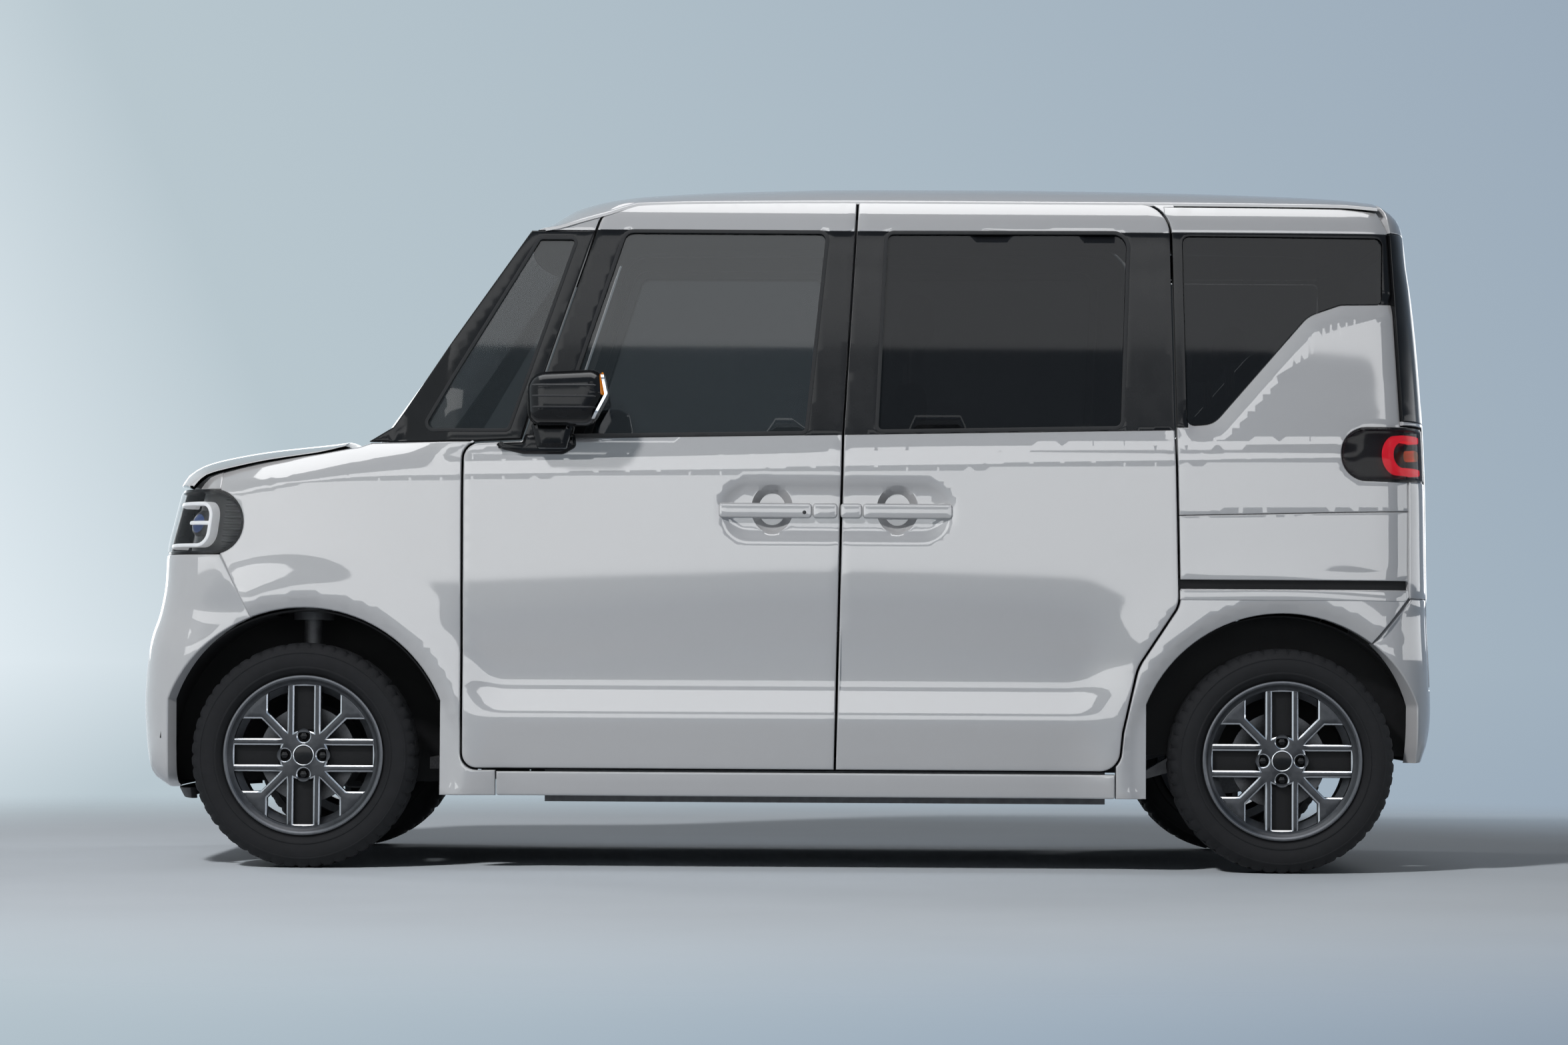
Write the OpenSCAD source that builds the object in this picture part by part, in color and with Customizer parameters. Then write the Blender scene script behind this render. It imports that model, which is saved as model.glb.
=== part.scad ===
// Tall electric kei car with hinged front doors and sliding rear doors.
// Front of the car is -X, its left side -Y, the ground is Z = 0. Millimetres.

/* [Overall] */
// Length over the bumpers
body_len = 3395; // [3340:5:3450]
// Width over the wheel-arch lips
body_w = 1475; // [1460:1:1490]
// Height at the crown of the roof
body_h = 1800; // [1780:5:1830]
// Distance of the front wheel centres ahead of the middle
front_axle = 1250; // [1244:1:1256]
// Distance of the rear wheel centres behind the middle
rear_axle = 1270; // [1264:1:1276]

/* [Wheels] */
// Tyre outside diameter
tyre_d = 579; // [570:1:588]
// Tyre section width
tyre_w = 165; // [155:1:170]
// Distance between the left and right wheel centre planes
track = 1290; // [1284:1:1296]
// Diameter over the rim's outer lip
rim_lip_d = 414; // [406:1:418]
// Diameter of the bead seats
rim_seat_d = 381; // [378:1:384]
// Width of the rim over its flanges
rim_w = 138; // [130:1:144]
// Bolt circle
bolt_pcd = 100; // [98:1:114]
// Centre cap diameter
cap_d = 52; // [46:1:58]
// Spindle diameter
spindle_d = 40; // [36:1:44]
// Brake disc diameter
disc_d = 250; // [230:1:262]
// Brake disc thickness
disc_t = 12; // [10:1:14]

/* [Panels] */
// Gap round doors and lids
shut_gap = 6; // [5.5:0.1:7]
// Gap between fixed panels
seam = 0.4; // [0.3:0.05:0.6]
// Thickness of a door below the windows
door_t = 75; // [68:1:80]
// Thickness of a window frame
frame_t = 45; // [40:1:50]
// Thickness of the fixed outer panels
panel_t = 30; // [24:1:34]
// Thickness of the bonnet
bonnet_t = 22; // [18:1:24]
// Thickness of the roof
roof_t = 28; // [22:1:30]
// Thickness of the tailgate
gate_t = 60; // [50:1:66]
// Thickness of the glass
glass_t = 5; // [4:0.5:6]
// Depth of the glass behind the outer surface
glass_in = 8; // [6:1:10]
// Free play round a pin
play = 0.6; // [0.4:0.05:0.8]

/* [Arches] */
// Radius of the wheel-arch opening
arch_r = 380; // [376:1:386]
// Half width of the opening where its sides run straight down
arch_half = 352; // [348:1:358]
// Width of the flat lip round the opening
lip_w = 30; // [24:1:34]
// Outer radius of the front flare
flare_f = 540; // [520:5:560]
// Outer radius of the rear flare
flare_r = 577; // [560:5:590]

/* [Hinges] */
// Door hinge line, ahead of the middle
door_hinge_x = 800; // [796:1:804]
// Door hinge line, from the middle plane
door_hinge_y = 714; // [712:1:715]
// Height of the lower door hinge
door_hinge_low = 650; // [640:1:660]
// Height of the upper door hinge
door_hinge_top = 930; // [920:1:935]
// Door hinge pin diameter
pin_d = 10; // [8:0.5:11]
// Bonnet hinge line, ahead of the middle
bonnet_hinge_x = 1150; // [1148:1:1152]
// Bonnet hinge line, height
bonnet_hinge_z = 1080; // [1078:1:1082]
// Tailgate hinge line, behind the middle
gate_hinge_x = 1549; // [1547:1:1551]
// Tailgate hinge line, height
gate_hinge_z = 1733; // [1731:1:1735]
// Radius of the tailgate's rolled upper edge
gate_roll = 15; // [13:1:16]
// Kingpin at the upper strut mount, from the middle plane
king_top_y = 500; // [496:1:504]
// Kingpin at the lower arm, from the middle plane
king_low_y = 575; // [572:1:578]

/* [Cabin] */
// Top of the cabin floor
floor_z = 285; // [280:1:295]
// Thickness of the floor
floor_t = 30; // [24:1:34]
// Underside of the sills
sill_z = 190; // [182:1:198]
// Height of the load floor
load_z = 560; // [550:1:580]
// Distance of a front seat from the middle plane
seat_y = 320; // [310:1:330]
// Width of a front seat
seat_w = 480; // [460:5:490]
// Half width of the rear bench
bench_half = 520; // [500:5:530]
// Steering wheel rim diameter
wheel_d = 365; // [350:5:375]
// Steering wheel grip diameter
grip_d = 29; // [26:1:32]

/* [Hidden] */
hw = body_w / 2;
door_hinge_z = [door_hinge_low, door_hinge_top];
kx = body_len / 3395;
kz = (body_h - 1100) / 700;
wz = tyre_d / 2;
fx = -front_axle;
rx = rear_axle;
lip_r = arch_r + lip_w;

// Height drawn for an 1800 mm tall car, stretched above the waist
function zu(z) = z < 1100 ? z : 1100 + (z - 1100) * kz;
function clamp01(v) = min(1, max(0, v));
function ease(v) = let(c = clamp01(v)) c * c * (3 - 2 * c);

// Body side section: height, inset from the widest
side_tab = [
  [150, 32], [190, 26], [263, 16], [330, 8], [395, 2], [430, 10], [484, 21], [560, 17], [650, 11],
  [733, 7], [816, 6], [900, 6], [970, 7], [1041, 10], [1080, 12], [1115, 16], [1250, 32], [1400, 49],
  [1540, 66], [1660, 82], [1700, 94], [1725, 109], [1745, 130], [1760, 160]];
// Wall thickness of doors and rear sides: height, thickness
wall_tab = [[0, door_t], [1060, door_t], [1110, frame_t], [1655, frame_t], [1700, 25], [1900, 25]];
function wall(z) = lookup(1100 + (z - 1100) / (z < 1100 ? 1 : kz), wall_tab);
// Edge of the bonnet seen from the side: x, z
cut_tab = [[-1600, 972], [-1530, 975], [-1500, 1006], [-1450, 1025], [-1380, 1042], [-1300, 1057],
  [-1220, 1073], [-1150, 1088], [-1000, 1108]];
function cut_z(x) = lookup(x / kx, cut_tab);

function base_y(z) = hw - lookup(1100 + (z - 1100) / (z < 1100 ? 1 : kz), side_tab);
function taper(x) = 22 * pow(max(0, -x - 900 * kx) / 600, 2) + 18 * pow(max(0, x - 1150 * kx) / 450, 2);
function roll(x, z) = 46 * pow(clamp01((z - cut_z(x) + 75) / 75), 2) * clamp01((-x - 880 * kx) / 120);
function flare(x, z) = max(
  ease((flare_f - norm([x - fx, z - wz])) / (flare_f - lip_r)),
  ease((flare_r - norm([x - rx, z - wz])) / (flare_r - lip_r)));
// Half width of the body side
function side_y(x, z) =
  let(b = base_y(z) - taper(x) - roll(x, z), k = max(0, x - tail_x) / (tail_reach(z) - tail_x))
  (b + (hw - b) * flare(x, z)) * pow(max(0.3, 1 - pow(k, tail_n)), 1 / tail_n);

// Front and rear silhouettes: height, distance from the middle
front_tab = [[150, 1600], [205, 1628], [222, 1657], [256, 1681], [352, 1694], [422, 1697.5], [544, 1690],
  [597, 1680], [649, 1662], [736, 1645], [813, 1641], [900, 1621], [979, 1599], [1016, 1586]];
rear_tab = [[150, 1660], [285, 1670], [330, 1686], [378, 1695], [422, 1697.5], [632, 1689], [772, 1686],
  [1023, 1682], [1158, 1677], [1351, 1664], [1509, 1647], [1579, 1636], [1661, 1627], [1684, 1622],
  [1707, 1611], [1722, 1596], [1737, 1576], [1751, 1542]];
nose_x = -1380 * kx;
tail_x = 1470 * kx;
nose_n = 5.5;
tail_n = 4;
wrap_a = [-90, -88, -84, -78, -70, -60, -48, -34, -18, 0, 18, 34, 48, 60, 70, 78, 84, 88, 90];
function pw(v, n) = pow(max(0, v), n);
function wrap_y(w, a, n) = w * sign(a) * pw(abs(sin(a)), 2 / n);
function nose_w(z) = base_y(z) - taper(nose_x) + (hw - base_y(z)) * ease((680 - z) / 130);
function tail_w(z) = base_y(z) - taper(tail_x) + (hw - base_y(z)) * ease((690 - z) / 130);
function nose_pt(z, a, t) =
  [nose_x - (lookup(z, front_tab) * kx + nose_x - t) * pw(cos(a), 2 / nose_n),
   wrap_y(nose_w(z) - t, a, nose_n), z];
function tail_reach(z) = lookup(1100 + (z - 1100) / (z < 1100 ? 1 : kz), rear_tab) * kx;
function tail_pt(z, a, t) =
  [tail_x + (tail_reach(z) - tail_x - t) * pw(cos(a), 2 / tail_n), wrap_y(tail_w(z) - t, a, tail_n), z];

// Corner of an outline rounded to radius r
function fillet(p, a, b, r, n = 6) =
  let(u = (a - p) / norm(a - p), v = (b - p) / norm(b - p), ang = acos(max(-1, min(1, u * v))),
      d = min(r / tan(ang / 2), norm(a - p) * 0.49, norm(b - p) * 0.49), q = d * tan(ang / 2),
      c = p + (u + v) / norm(u + v) * q / sin(ang / 2), s = p + u * d - c, e = p + v * d - c,
      a0 = atan2(s[1], s[0]), a1 = atan2(e[1], e[0]), k = a1 - a0,
      da = k > 180 ? k - 360 : k < -180 ? k + 360 : k)
  [for (i = [0 : n]) c + q * [cos(a0 + da * i / n), sin(a0 + da * i / n)]];
function xy(p) = [p[0] * kx, zu(p[1])];
function outline(q) = let(m = len(q))
  [for (i = [0 : m - 1]) each len(q[i]) > 2
    ? fillet(xy(q[i]), xy(q[(i + m - 1) % m]), xy(q[(i + 1) % m]), q[i][2]) : [xy(q[i])]];

// Shut lines and windows seen from the side: x, z, corner radius
door_line = outline([[118, 258], [-842, 258, 40], [-846, 960], [-846, 1098, 45], [-694, 1105, 8],
  [-482, 1737, 90], [172, 1744], [135, 1119]]);
slide_line = outline([[118, 258], [135, 1119], [172, 1744], [984, 1744, 90], [994, 1144], [1003, 690, 70],
  [896, 528, 130], [858, 360], [848, 258, 60]]);
front_win = outline([[-610, 1116, 25], [-432, 1655, 30], [94, 1655, 20], [40, 1128, 15]]);
slide_win = outline([[221, 1133, 15], [246, 1655, 20], [876, 1658, 40], [856, 1146, 20]]);
light_win = outline([[-958, 1130, 20], [-655, 1636, 12], [-556, 1636, 12], [-728, 1130, 15]]);
quarter_win = outline([[1022, 1152, 20], [1092, 1158, 60], [1340, 1442, 80], [1425, 1472, 40], [1533, 1474, 15],
  [1538, 1648, 20], [1014, 1650, 20]]);
lamp_line = outline([[-1760, 808], [-1760, 973], [-1410, 973, 82], [-1410, 808, 82]]);
tail_line = outline([[1760, 1012], [1760, 1151], [1420, 1151, 66], [1420, 1012, 66]]);
fender_line = outline([[-1470, 805], [-1470, 1000], [-1450, 1025], [-1380, 1038], [-1300, 1052], [-1220, 1065],
  [-1150, 1080], [-1118, 1086], [-1085, 1098], [-820, 1101], [-700, 1101], [-755, 250], [-755, 186], [-900, 186],
  [-1250, 300], [-1386, 640]]);
nose_line = outline([[-1760, 805], [-1470, 805], [-1386, 640], [-1250, 300], [-1250, 150], [-1760, 150]]);
rear_line = outline([[970, 1690], [970, 1727], [1430, 1725], [1524, 1716], [1600, 1580], [1600, 715], [1500, 596], [1270, 300],
  [916, 186], [840, 186], [840, 700]]);
tail_bump_line = outline([[1760, 709], [1606, 709], [1500, 590], [1270, 300], [1270, 150], [1760, 150]]);
pillar_line = outline([[-1092, 1102], [-1030, 1140], [-668, 1668], [-500, 1668], [-690, 1102]]);

function arch_pts(cx) = concat([[cx - arch_half, -50]],
  [for (i = [0 : 24]) let(a = 180 - acos(arch_half / arch_r) - (180 - 2 * acos(arch_half / arch_r)) * i / 24)
    [cx + arch_r * cos(a), wz + arch_r * sin(a)]], [[cx + arch_half, -50]]);

// Closed solid between two grids of points with equal rows and columns
module shell(a, b) {
  nr = len(a);
  nc = len(a[0]);
  m = nr * nc;
  last = nc - 1;
  end = nr - 1;
  polyhedron(points = concat([for (r = a) each r], [for (r = b) each r]), faces = concat(
    [for (i = [0 : nr - 2]) for (j = [0 : nc - 2]) let(p = i * nc + j) each
      [[p, p + 1, p + nc + 1], [p, p + nc + 1, p + nc]]],
    [for (i = [0 : nr - 2]) for (j = [0 : nc - 2]) let(p = m + i * nc + j) each
      [[p, p + nc + 1, p + 1], [p, p + nc, p + nc + 1]]],
    [for (j = [0 : nc - 2]) each [[j, m + j, m + j + 1], [j, m + j + 1, j + 1]]],
    [for (j = [0 : nc - 2]) let(p = end * nc + j) each [[p, m + p + 1, m + p], [p, p + 1, m + p + 1]]],
    [for (i = [0 : nr - 2]) let(p = i * nc) each [[p, p + nc, m + p + nc], [p, m + p + nc, m + p]]],
    [for (i = [0 : nr - 2]) let(p = i * nc + last) each [[p, m + p + nc, p + nc], [p, m + p, m + p + nc]]]));
}

// Prism of a side-view outline, from y0 to y1
module across(y0, y1) {
  translate([0, y1, 0]) rotate([90, 0, 0]) linear_extrude(height = y1 - y0) children();
}
// Prism of a front-view outline, from x0 to x1
module along(x0, x1) {
  translate([x0, 0, 0]) rotate([90, 0, 90]) linear_extrude(height = x1 - x0) children();
}
module box(a, b) {
  translate(a) cube(b - a);
}
module both() {
  children();
  mirror([0, 1, 0]) children();
}
module grown(pts, d) {
  offset(delta = d) polygon(pts);
}
module arch(cx) {
  polygon(arch_pts(cx));
}

function levels(z0, z1) =
  concat([z0], [for (r = side_tab) if (zu(r[0]) > z0 + 6 && zu(r[0]) < z1 - 6) zu(r[0])], [z1]);
function steps(a, b, n) = [for (i = [0 : n]) a + (b - a) * i / n];
// Right-hand body side between two stations, as thick as the wall or as t
module side_patch(x0, x1, nx, z0, z1, inset = 0, t = 0) {
  zs = levels(z0, z1);
  xs = steps(x0, x1, nx);
  shell([for (z = zs) [for (x = xs) [x, side_y(x, z) - inset, z]]],
    [for (z = zs) [for (x = xs) [x, side_y(x, z) - inset - (t > 0 ? t : wall(z)), z]]]);
}
module nose_loft(zs, t0, t1) {
  shell([for (z = zs) [for (a = wrap_a) nose_pt(z, a, t0)]],
    [for (z = zs) [for (a = wrap_a) nose_pt(z, a, t1)]]);
}
module tail_loft(zs, t0, t1) {
  shell([for (a = wrap_a) [for (z = zs) tail_pt(z, a, t0)]],
    [for (a = wrap_a) [for (z = zs) tail_pt(z, a, t1)]]);
}

// Colours
paint = [0.9, 0.9, 0.91];
black = [0.08, 0.08, 0.09];
grey = [0.3, 0.3, 0.32];
metal = [0.6, 0.6, 0.63];
clear = [0.35, 0.4, 0.45];
cloth = [0.25, 0.25, 0.27];

// Cabin floor stepping up to the load floor
floor_w = 636;
load_w = 538;
module floor_pan() color(grey) {
  box([-930 * kx, -floor_w, floor_z - floor_t], [905 * kx, floor_w, floor_z]);
  across(-load_w, load_w) polygon([[905 * kx, floor_z - floor_t], [925 * kx, floor_z - floor_t],
    [985 * kx, load_z - floor_t], [1610 * kx, load_z - floor_t], [1610 * kx, load_z], [960 * kx, load_z],
    [905 * kx, floor_z]]);
}

// Sills with a jack pad near each end
pad_x = [-650, 770];
pad_d = 20;
pad_len = 90;
module sill() {
  along(-755 * kx + seam, 840 * kx - seam) polygon([[floor_w + seam, sill_z], [base_y(sill_z), sill_z],
    [base_y(254), 254 - 3], [floor_w + seam, 254 - 3]]);
  along(-740 * kx, 820 * kx) polygon([[floor_w + seam, 250], [floor_w + 4, 250], [floor_w + 4, floor_z],
    [floor_w + seam, floor_z]]);
  for (x = pad_x)
    box([x * kx - pad_len / 2, floor_w + 12, sill_z - pad_d], [x * kx + pad_len / 2, floor_w + 62, sill_z + 1]);
}
module sills() color(paint) both() sill();

// Bulkhead, cowl, posts, inner wings, strut mounts and front beam
post_x = [-905, -770];
wing_y = 388;
tow_r = 8;
tow_y = 300;
tow_z = 470;
beam_x = -1640;
module post() {
  difference() {
    box([post_x[0] * kx, 560, floor_z + seam], [post_x[1] * kx, 634, 1085]);
    box([post_x[0] * kx + 22, 582, floor_z + 10], [post_x[1] * kx + 1, 640, 560]);
  }
  box([post_x[0] * kx + 2, 620, 860], [-862 * kx, base_y(900) - panel_t - seam - 2, 990]);
  for (z = door_hinge_z) {
    box([-door_hinge_x * kx - 6, 620, z - 15], [-door_hinge_x * kx + 6, door_hinge_y - 2, z + 15]);
    translate([-door_hinge_x * kx, door_hinge_y, z - 40]) cylinder(h = 80, d = pin_d, $fn = 48);
  }
}
function king_y(z) = king_top_y + (king_low_y - king_top_y) * (980 - z) / 785;
king_tilt = atan((king_low_y - king_top_y) / 785);
module wing() {
  box([-1600 * kx, wing_y - 20, 330], [-958 * kx, wing_y, 800]);
  box([-1340 * kx, wing_y - 20, 790], [-1160 * kx, wing_y, 990]);
  difference() {
    box([fx - 80, wing_y - 10, 960], [fx + 80, 570, 990]);
    translate([fx, king_y(970), 970]) rotate([king_tilt, 0, 0])
      cylinder(h = 90, d = 16 + 2 * play, center = true, $fn = 48);
  }
  box([fx + 80, wing_y - 10, 960], [-958 * kx, wing_y + 40, 990]);
}
module bonnet_bracket() {
  translate([-bonnet_hinge_x * kx, 506, bonnet_hinge_z]) rotate([-90, 0, 0]) cylinder(h = 68, d = 8, $fn = 48);
  box([-bonnet_hinge_x * kx - 5, 530, 1000], [-bonnet_hinge_x * kx + 9, 550, bonnet_hinge_z + 2]);
  box([-bonnet_hinge_x * kx - 5, 520, 990], [-1085 * kx, 560, 1012]);
}
module front_frame() color(grey) {
  difference() {
    union() {
      box([-960 * kx, -600, 250], [-932 * kx, 600, 1072]);
      box([-1118 * kx, -600, 985], [-959 * kx, 600, 1012]);
      along(-1118 * kx, -1100 * kx) polygon([[-600, 1000], [600, 1000], [600, 1074], [-600, 1074]]);
      box([beam_x * kx, -460, 420], [-1590 * kx, 460, 520]);
      both() {
        post();
        wing();
        bonnet_bracket();
        box([-961 * kx, 566, 300], [post_x[0] * kx + 4, 596, 1060]);
        box([-1600 * kx, 340, 420], [-1588 * kx, 388, 520]);
      }
    }
    translate([beam_x * kx - 1, tow_y, tow_z]) rotate([0, 90, 0]) cylinder(h = 41, r = tow_r, $fn = 48);
    both() across(wing_y + seam / 2, 700) translate([fx, wz]) circle(r = liner_r + seam, $fn = 96);
  }
}

// Windscreen pillars with quarter-light frames, and centre posts
module centre_post() {
  along(146 * kx, 214 * kx) polygon(concat(
    [for (z = levels(floor_z + seam, zu(1688))) [base_y(z) - wall(z) - seam, z]],
    [for (z = [zu(1688), zu(1110), zu(1000), floor_z + seam]) [base_y(z) - wall(z) - 48, z]]));
}
module screen_post() {
  intersection() {
    side_patch(-1110 * kx, -480 * kx, 6, zu(1090), zu(1690), 0, frame_t - 5);
    difference() {
      across(300, 800) polygon(pillar_line);
      across(300, 800) grown(door_line, shut_gap / 2);
      across(300, 800) polygon(light_win);
      across(300, 800) grown(fender_line, seam);
    }
  }
}
module pillars() color(black) both() {
  centre_post();
  difference() {
    screen_post();
    screen_rebate();
  }
}

// Roof skin: station, crown height, edge height, share of the windscreen's bow
screen_bow = 66;
roof_tab = [[-713, 1664, 1662, 1], [-673, 1690, 1668, 0.92], [-638, 1711, 1676, 0.82], [-603, 1731, 1684, 0.68],
  [-560, 1745, 1693, 0.5], [-500, 1759, 1706, 0.3], [-440, 1767, 1722, 0.12], [-393, 1772, 1732, 0],
  [-147, 1789, 1738, 0], [203, 1799, 1741, 0], [554, 1800, 1741, 0], [905, 1796, 1741, 0],
  [1255, 1786, 1740, 0], [1430, 1776, 1738, 0], [1526, 1764, 1730, 0]];
roof_s = [-1, -0.985, -0.95, -0.88, -0.76, -0.5, 0, 0.5, 0.76, 0.88, 0.95, 0.985, 1];
function roof_pt(r, s, t) = let(e = zu(r[2]), c = zu(r[1]))
  [r[0] * kx + r[3] * screen_bow * s * s + 7 * r[3], base_y(e) * s,
   c - (c - e) * pow(abs(s), 6) - t * (1 - 0.65 * pow(abs(s), 4))];
// Arm and pin at the roof's rear edge that carry the tailgate
gate_arm_y = 450;
module gate_bracket() {
  ax = gate_hinge_x * kx;
  az = zu(gate_hinge_z);
  box([1480 * kx, gate_arm_y - 10, az - 8], [ax + 4, gate_arm_y + 10, az + 8]);
  translate([ax, gate_arm_y - 26, az]) rotate([-90, 0, 0]) cylinder(h = 52, d = 8, $fn = 48);
}
module roof() color(paint) difference() {
  union() {
    shell([for (r = roof_tab) [for (s = roof_s) roof_pt(r, s, 0)]],
      [for (r = roof_tab) [for (s = roof_s) roof_pt(r, s, roof_t)]]);
    both() {
      box([-470 * kx, 530, zu(1688) + seam], [1500 * kx, 588, zu(1745)]);
      gate_bracket();
    }
  }
  both() {
    across(586, 800) grown(door_line, shut_gap / 2 + 1);
    across(586, 800) grown(slide_line, shut_gap / 2 + 1);
    across(450, 800) grown(pillar_line, seam);
  }
}

// Front wings
door_swing = 52;
corner_swing = 41;
module fender() {
  difference() {
    intersection() {
      side_patch(-1490 * kx, -690 * kx, 11, 180, 1112, 0, panel_t);
      across(300, 900) difference() {
        polygon(fender_line);
        grown(door_line, shut_gap / 2);
        arch(fx);
        grown(lamp_line, seam);
        translate([-1200 * kx, 0]) square([446 * kx, 190]);
      }
    }
    translate([-door_hinge_x * kx, door_hinge_y, 256]) cylinder(h = 60, r = corner_swing, $fn = 48);
    translate([-door_hinge_x * kx, door_hinge_y, 300]) cylinder(h = 900, r = door_swing, $fn = 48);
  }
}
module fenders() color(paint) both() fender();

// Rear quarters with the rear window opening and the rail slot
module gate_line() {
  union() {
    translate([gate_hinge_x * kx, zu(gate_hinge_z)]) circle(r = gate_roll, $fn = 48);
    polygon([[gate_hinge_x * kx, zu(gate_hinge_z) - gate_roll], xy([1557, 1670]), xy([1583, 1158]),
      xy([1800, 1158]), xy([1800, 1790]), [gate_hinge_x * kx, zu(1790)]]);
  }
}
rail_z = [731, 755];
module rear_side() {
  difference() {
    intersection() {
      side_patch(835 * kx, 1605 * kx, 11, 180, zu(1746), 0, 0);
      across(300, 900) difference() {
        polygon(rear_line);
        grown(slide_line, shut_gap / 2);
        arch(rx);
        grown(tail_line, seam);
        offset(delta = shut_gap) gate_line();
        polygon(quarter_win);
      }
    }
    box([990 * kx, hw - 24, rail_z[0]], [1598 * kx, 900, rail_z[1]]);
    across(300, 900) translate([rx, wz]) circle(r = arch_r - 12, $fn = 72);
  }
}
module rear_sides() color(paint) both() rear_side();

// Sliding doors, closed
handle_z = 925;
module sliding_door() {
  difference() {
    intersection() {
      side_patch(100 * kx, 1010 * kx, 7, 250, zu(1746), 0, 0);
      across(300, 900) difference() {
        grown(slide_line, -shut_gap / 2);
        polygon(slide_win);
      }
    }
    box([130 * kx, 500, zu(1704)], [1000 * kx, 592, zu(1760)]);
    handle_dish(300);
  }
}
module handle_dish(x) {
  translate([x * kx, hw + 8, handle_z]) rotate([90, 0, 0]) linear_extrude(height = 42)
    offset(r = 60, $fn = 32) square([200, 40], center = true);
}
module sliding_doors() color(paint) both() sliding_door();

// Bumpers, nose panel and rear corners
module front_bumper() color(paint) difference() {
  intersection() {
    nose_loft([205, 222, 256, 300, 352, 422, 480, 544, 597, 649, 736, 800, 806], 0, panel_t);
    across(-900, 900) polygon(nose_line);
  }
  across(-900, 900) arch(fx);
  both() across(300, 900) grown(fender_line, seam);
  box([-1800, -430, 300], [-1600 * kx, 430, 400]);
  translate([-1800, tow_y, tow_z]) rotate([0, 90, 0]) cylinder(h = 300, r = 22, $fn = 48);
}
panel_y = 425;
module front_panel() color(black) intersection() {
  nose_loft([806 + seam, 850, 900, 940, 970], 0, panel_t);
  box([-1800, -panel_y, 700], [-1400, panel_y, 1000]);
}
gate_w = 588;
gate_low = 480;
module rear_bumper() color(paint) difference() {
  intersection() {
    tail_loft([285, 330, 378, 422, 500, 560, 632, 709], 0, panel_t + 10);
    across(-900, 900) polygon(tail_bump_line);
  }
  across(-900, 900) arch(rx);
  both() across(300, 900) offset(delta = seam) difference() {
    polygon(rear_line);
    arch(rx);
  }
  box([1500 * kx, -gate_w - shut_gap, gate_low - shut_gap], [1900, gate_w + shut_gap, 800]);
}
module rear_corners() color(paint) both() intersection() {
  tail_loft([709 + seam, 772, 860, 940, 1012 - seam], 0, panel_t + 10);
  box([1600 * kx + seam, gate_w + shut_gap, 600], [1900, 900, 1100]);
}
module headlamps() color(clear) both() intersection() {
  nose_loft([806 + seam, 850, 900, 940, 972], 0, 90);
  across(300, 900) grown(lamp_line, -seam / 2);
  box([-1800, panel_y + seam, 700], [-1300, 900, 1100]);
}
module tail_lamps() color([0.7, 0.1, 0.12]) both() intersection() {
  tail_loft([1012, 1060, 1105, 1151], 0, door_t);
  across(300, 900) grown(tail_line, -seam / 2);
  box([1300 * kx, gate_w + shut_gap, 900], [1900, 900, 1200]);
}

// Windscreen: height, distance ahead of the middle
screen_tab = [[1110, 1118], [1158, 1085], [1280, 997], [1400, 910], [1520, 824], [1648, 731], [1663, 720]];
screen_s = [-1, -0.83, -0.63, -0.33, 0, 0.33, 0.63, 0.83, 1];
function screen_half(r) = side_y(screen_bow - r[1] * kx, zu(r[0])) - frame_t + 3;
function screen_pt(r, s, t, e = 0) =
  [-r[1] * kx + screen_bow * pow(abs(s), 2) + t, s * (screen_half(r) + e), zu(r[0])];
module screen_rebate() shell([for (r = screen_tab) [for (s = screen_s) screen_pt(r, s, -seam, seam)]],
  [for (r = screen_tab) [for (s = screen_s) screen_pt(r, s, glass_t * 1.25 + seam, seam)]]);
module windscreen() color(clear) shell([for (r = screen_tab) [for (s = screen_s) screen_pt(r, s, 0)]],
  [for (r = screen_tab) [for (s = screen_s) screen_pt(r, s, glass_t * 1.25)]]);

// Fixed side windows
module pane(x0, x1, nx, z0, z1, pts) {
  intersection() {
    side_patch(x0 * kx, x1 * kx, nx, zu(z0), zu(z1), glass_in, glass_t);
    across(300, 900) grown(pts, -seam);
  }
}
module side_glass() color(clear) both() {
  pane(-970, -540, 4, 1125, 1645, light_win);
  pane(210, 890, 4, 1125, 1665, slide_win);
  pane(1000, 1550, 8, 1140, 1660, quarter_win);
}

// Wheel-house liners
liner_r = 372;
module liner(cx, y0, y1) {
  difference() {
    translate([cx, y1, wz]) rotate([90, 0, 0]) difference() {
      cylinder(h = y1 - y0, r = liner_r, $fn = 96);
      translate([0, 0, -1]) cylinder(h = y1 - y0 + 2, r = liner_r - 4, $fn = 96);
    }
    box([cx - 500, 300, -200], [cx + 500, 800, 330]);
    box([cx - 90, wing_y - 5, 300], [cx + 90, 600, 900]);
  }
}
module wheel_liners() color(black) both() {
  difference() {
    liner(fx, wing_y + seam, 655);
    box([fx - 500, 300, 0], [fx - 325, 900, 900]);
    box([post_x[0] * kx - seam, 550, 0], [fx + 500, 900, 900]);
  }
  difference() {
    liner(rx, load_w + seam, 640);
    box([rx + 300, 300, 0], [rx + 500, 900, 900]);
    box([rx - 600, 400, 100], [rx + 600, load_w + 8, load_z - floor_t + 10]);
  }
}

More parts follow.
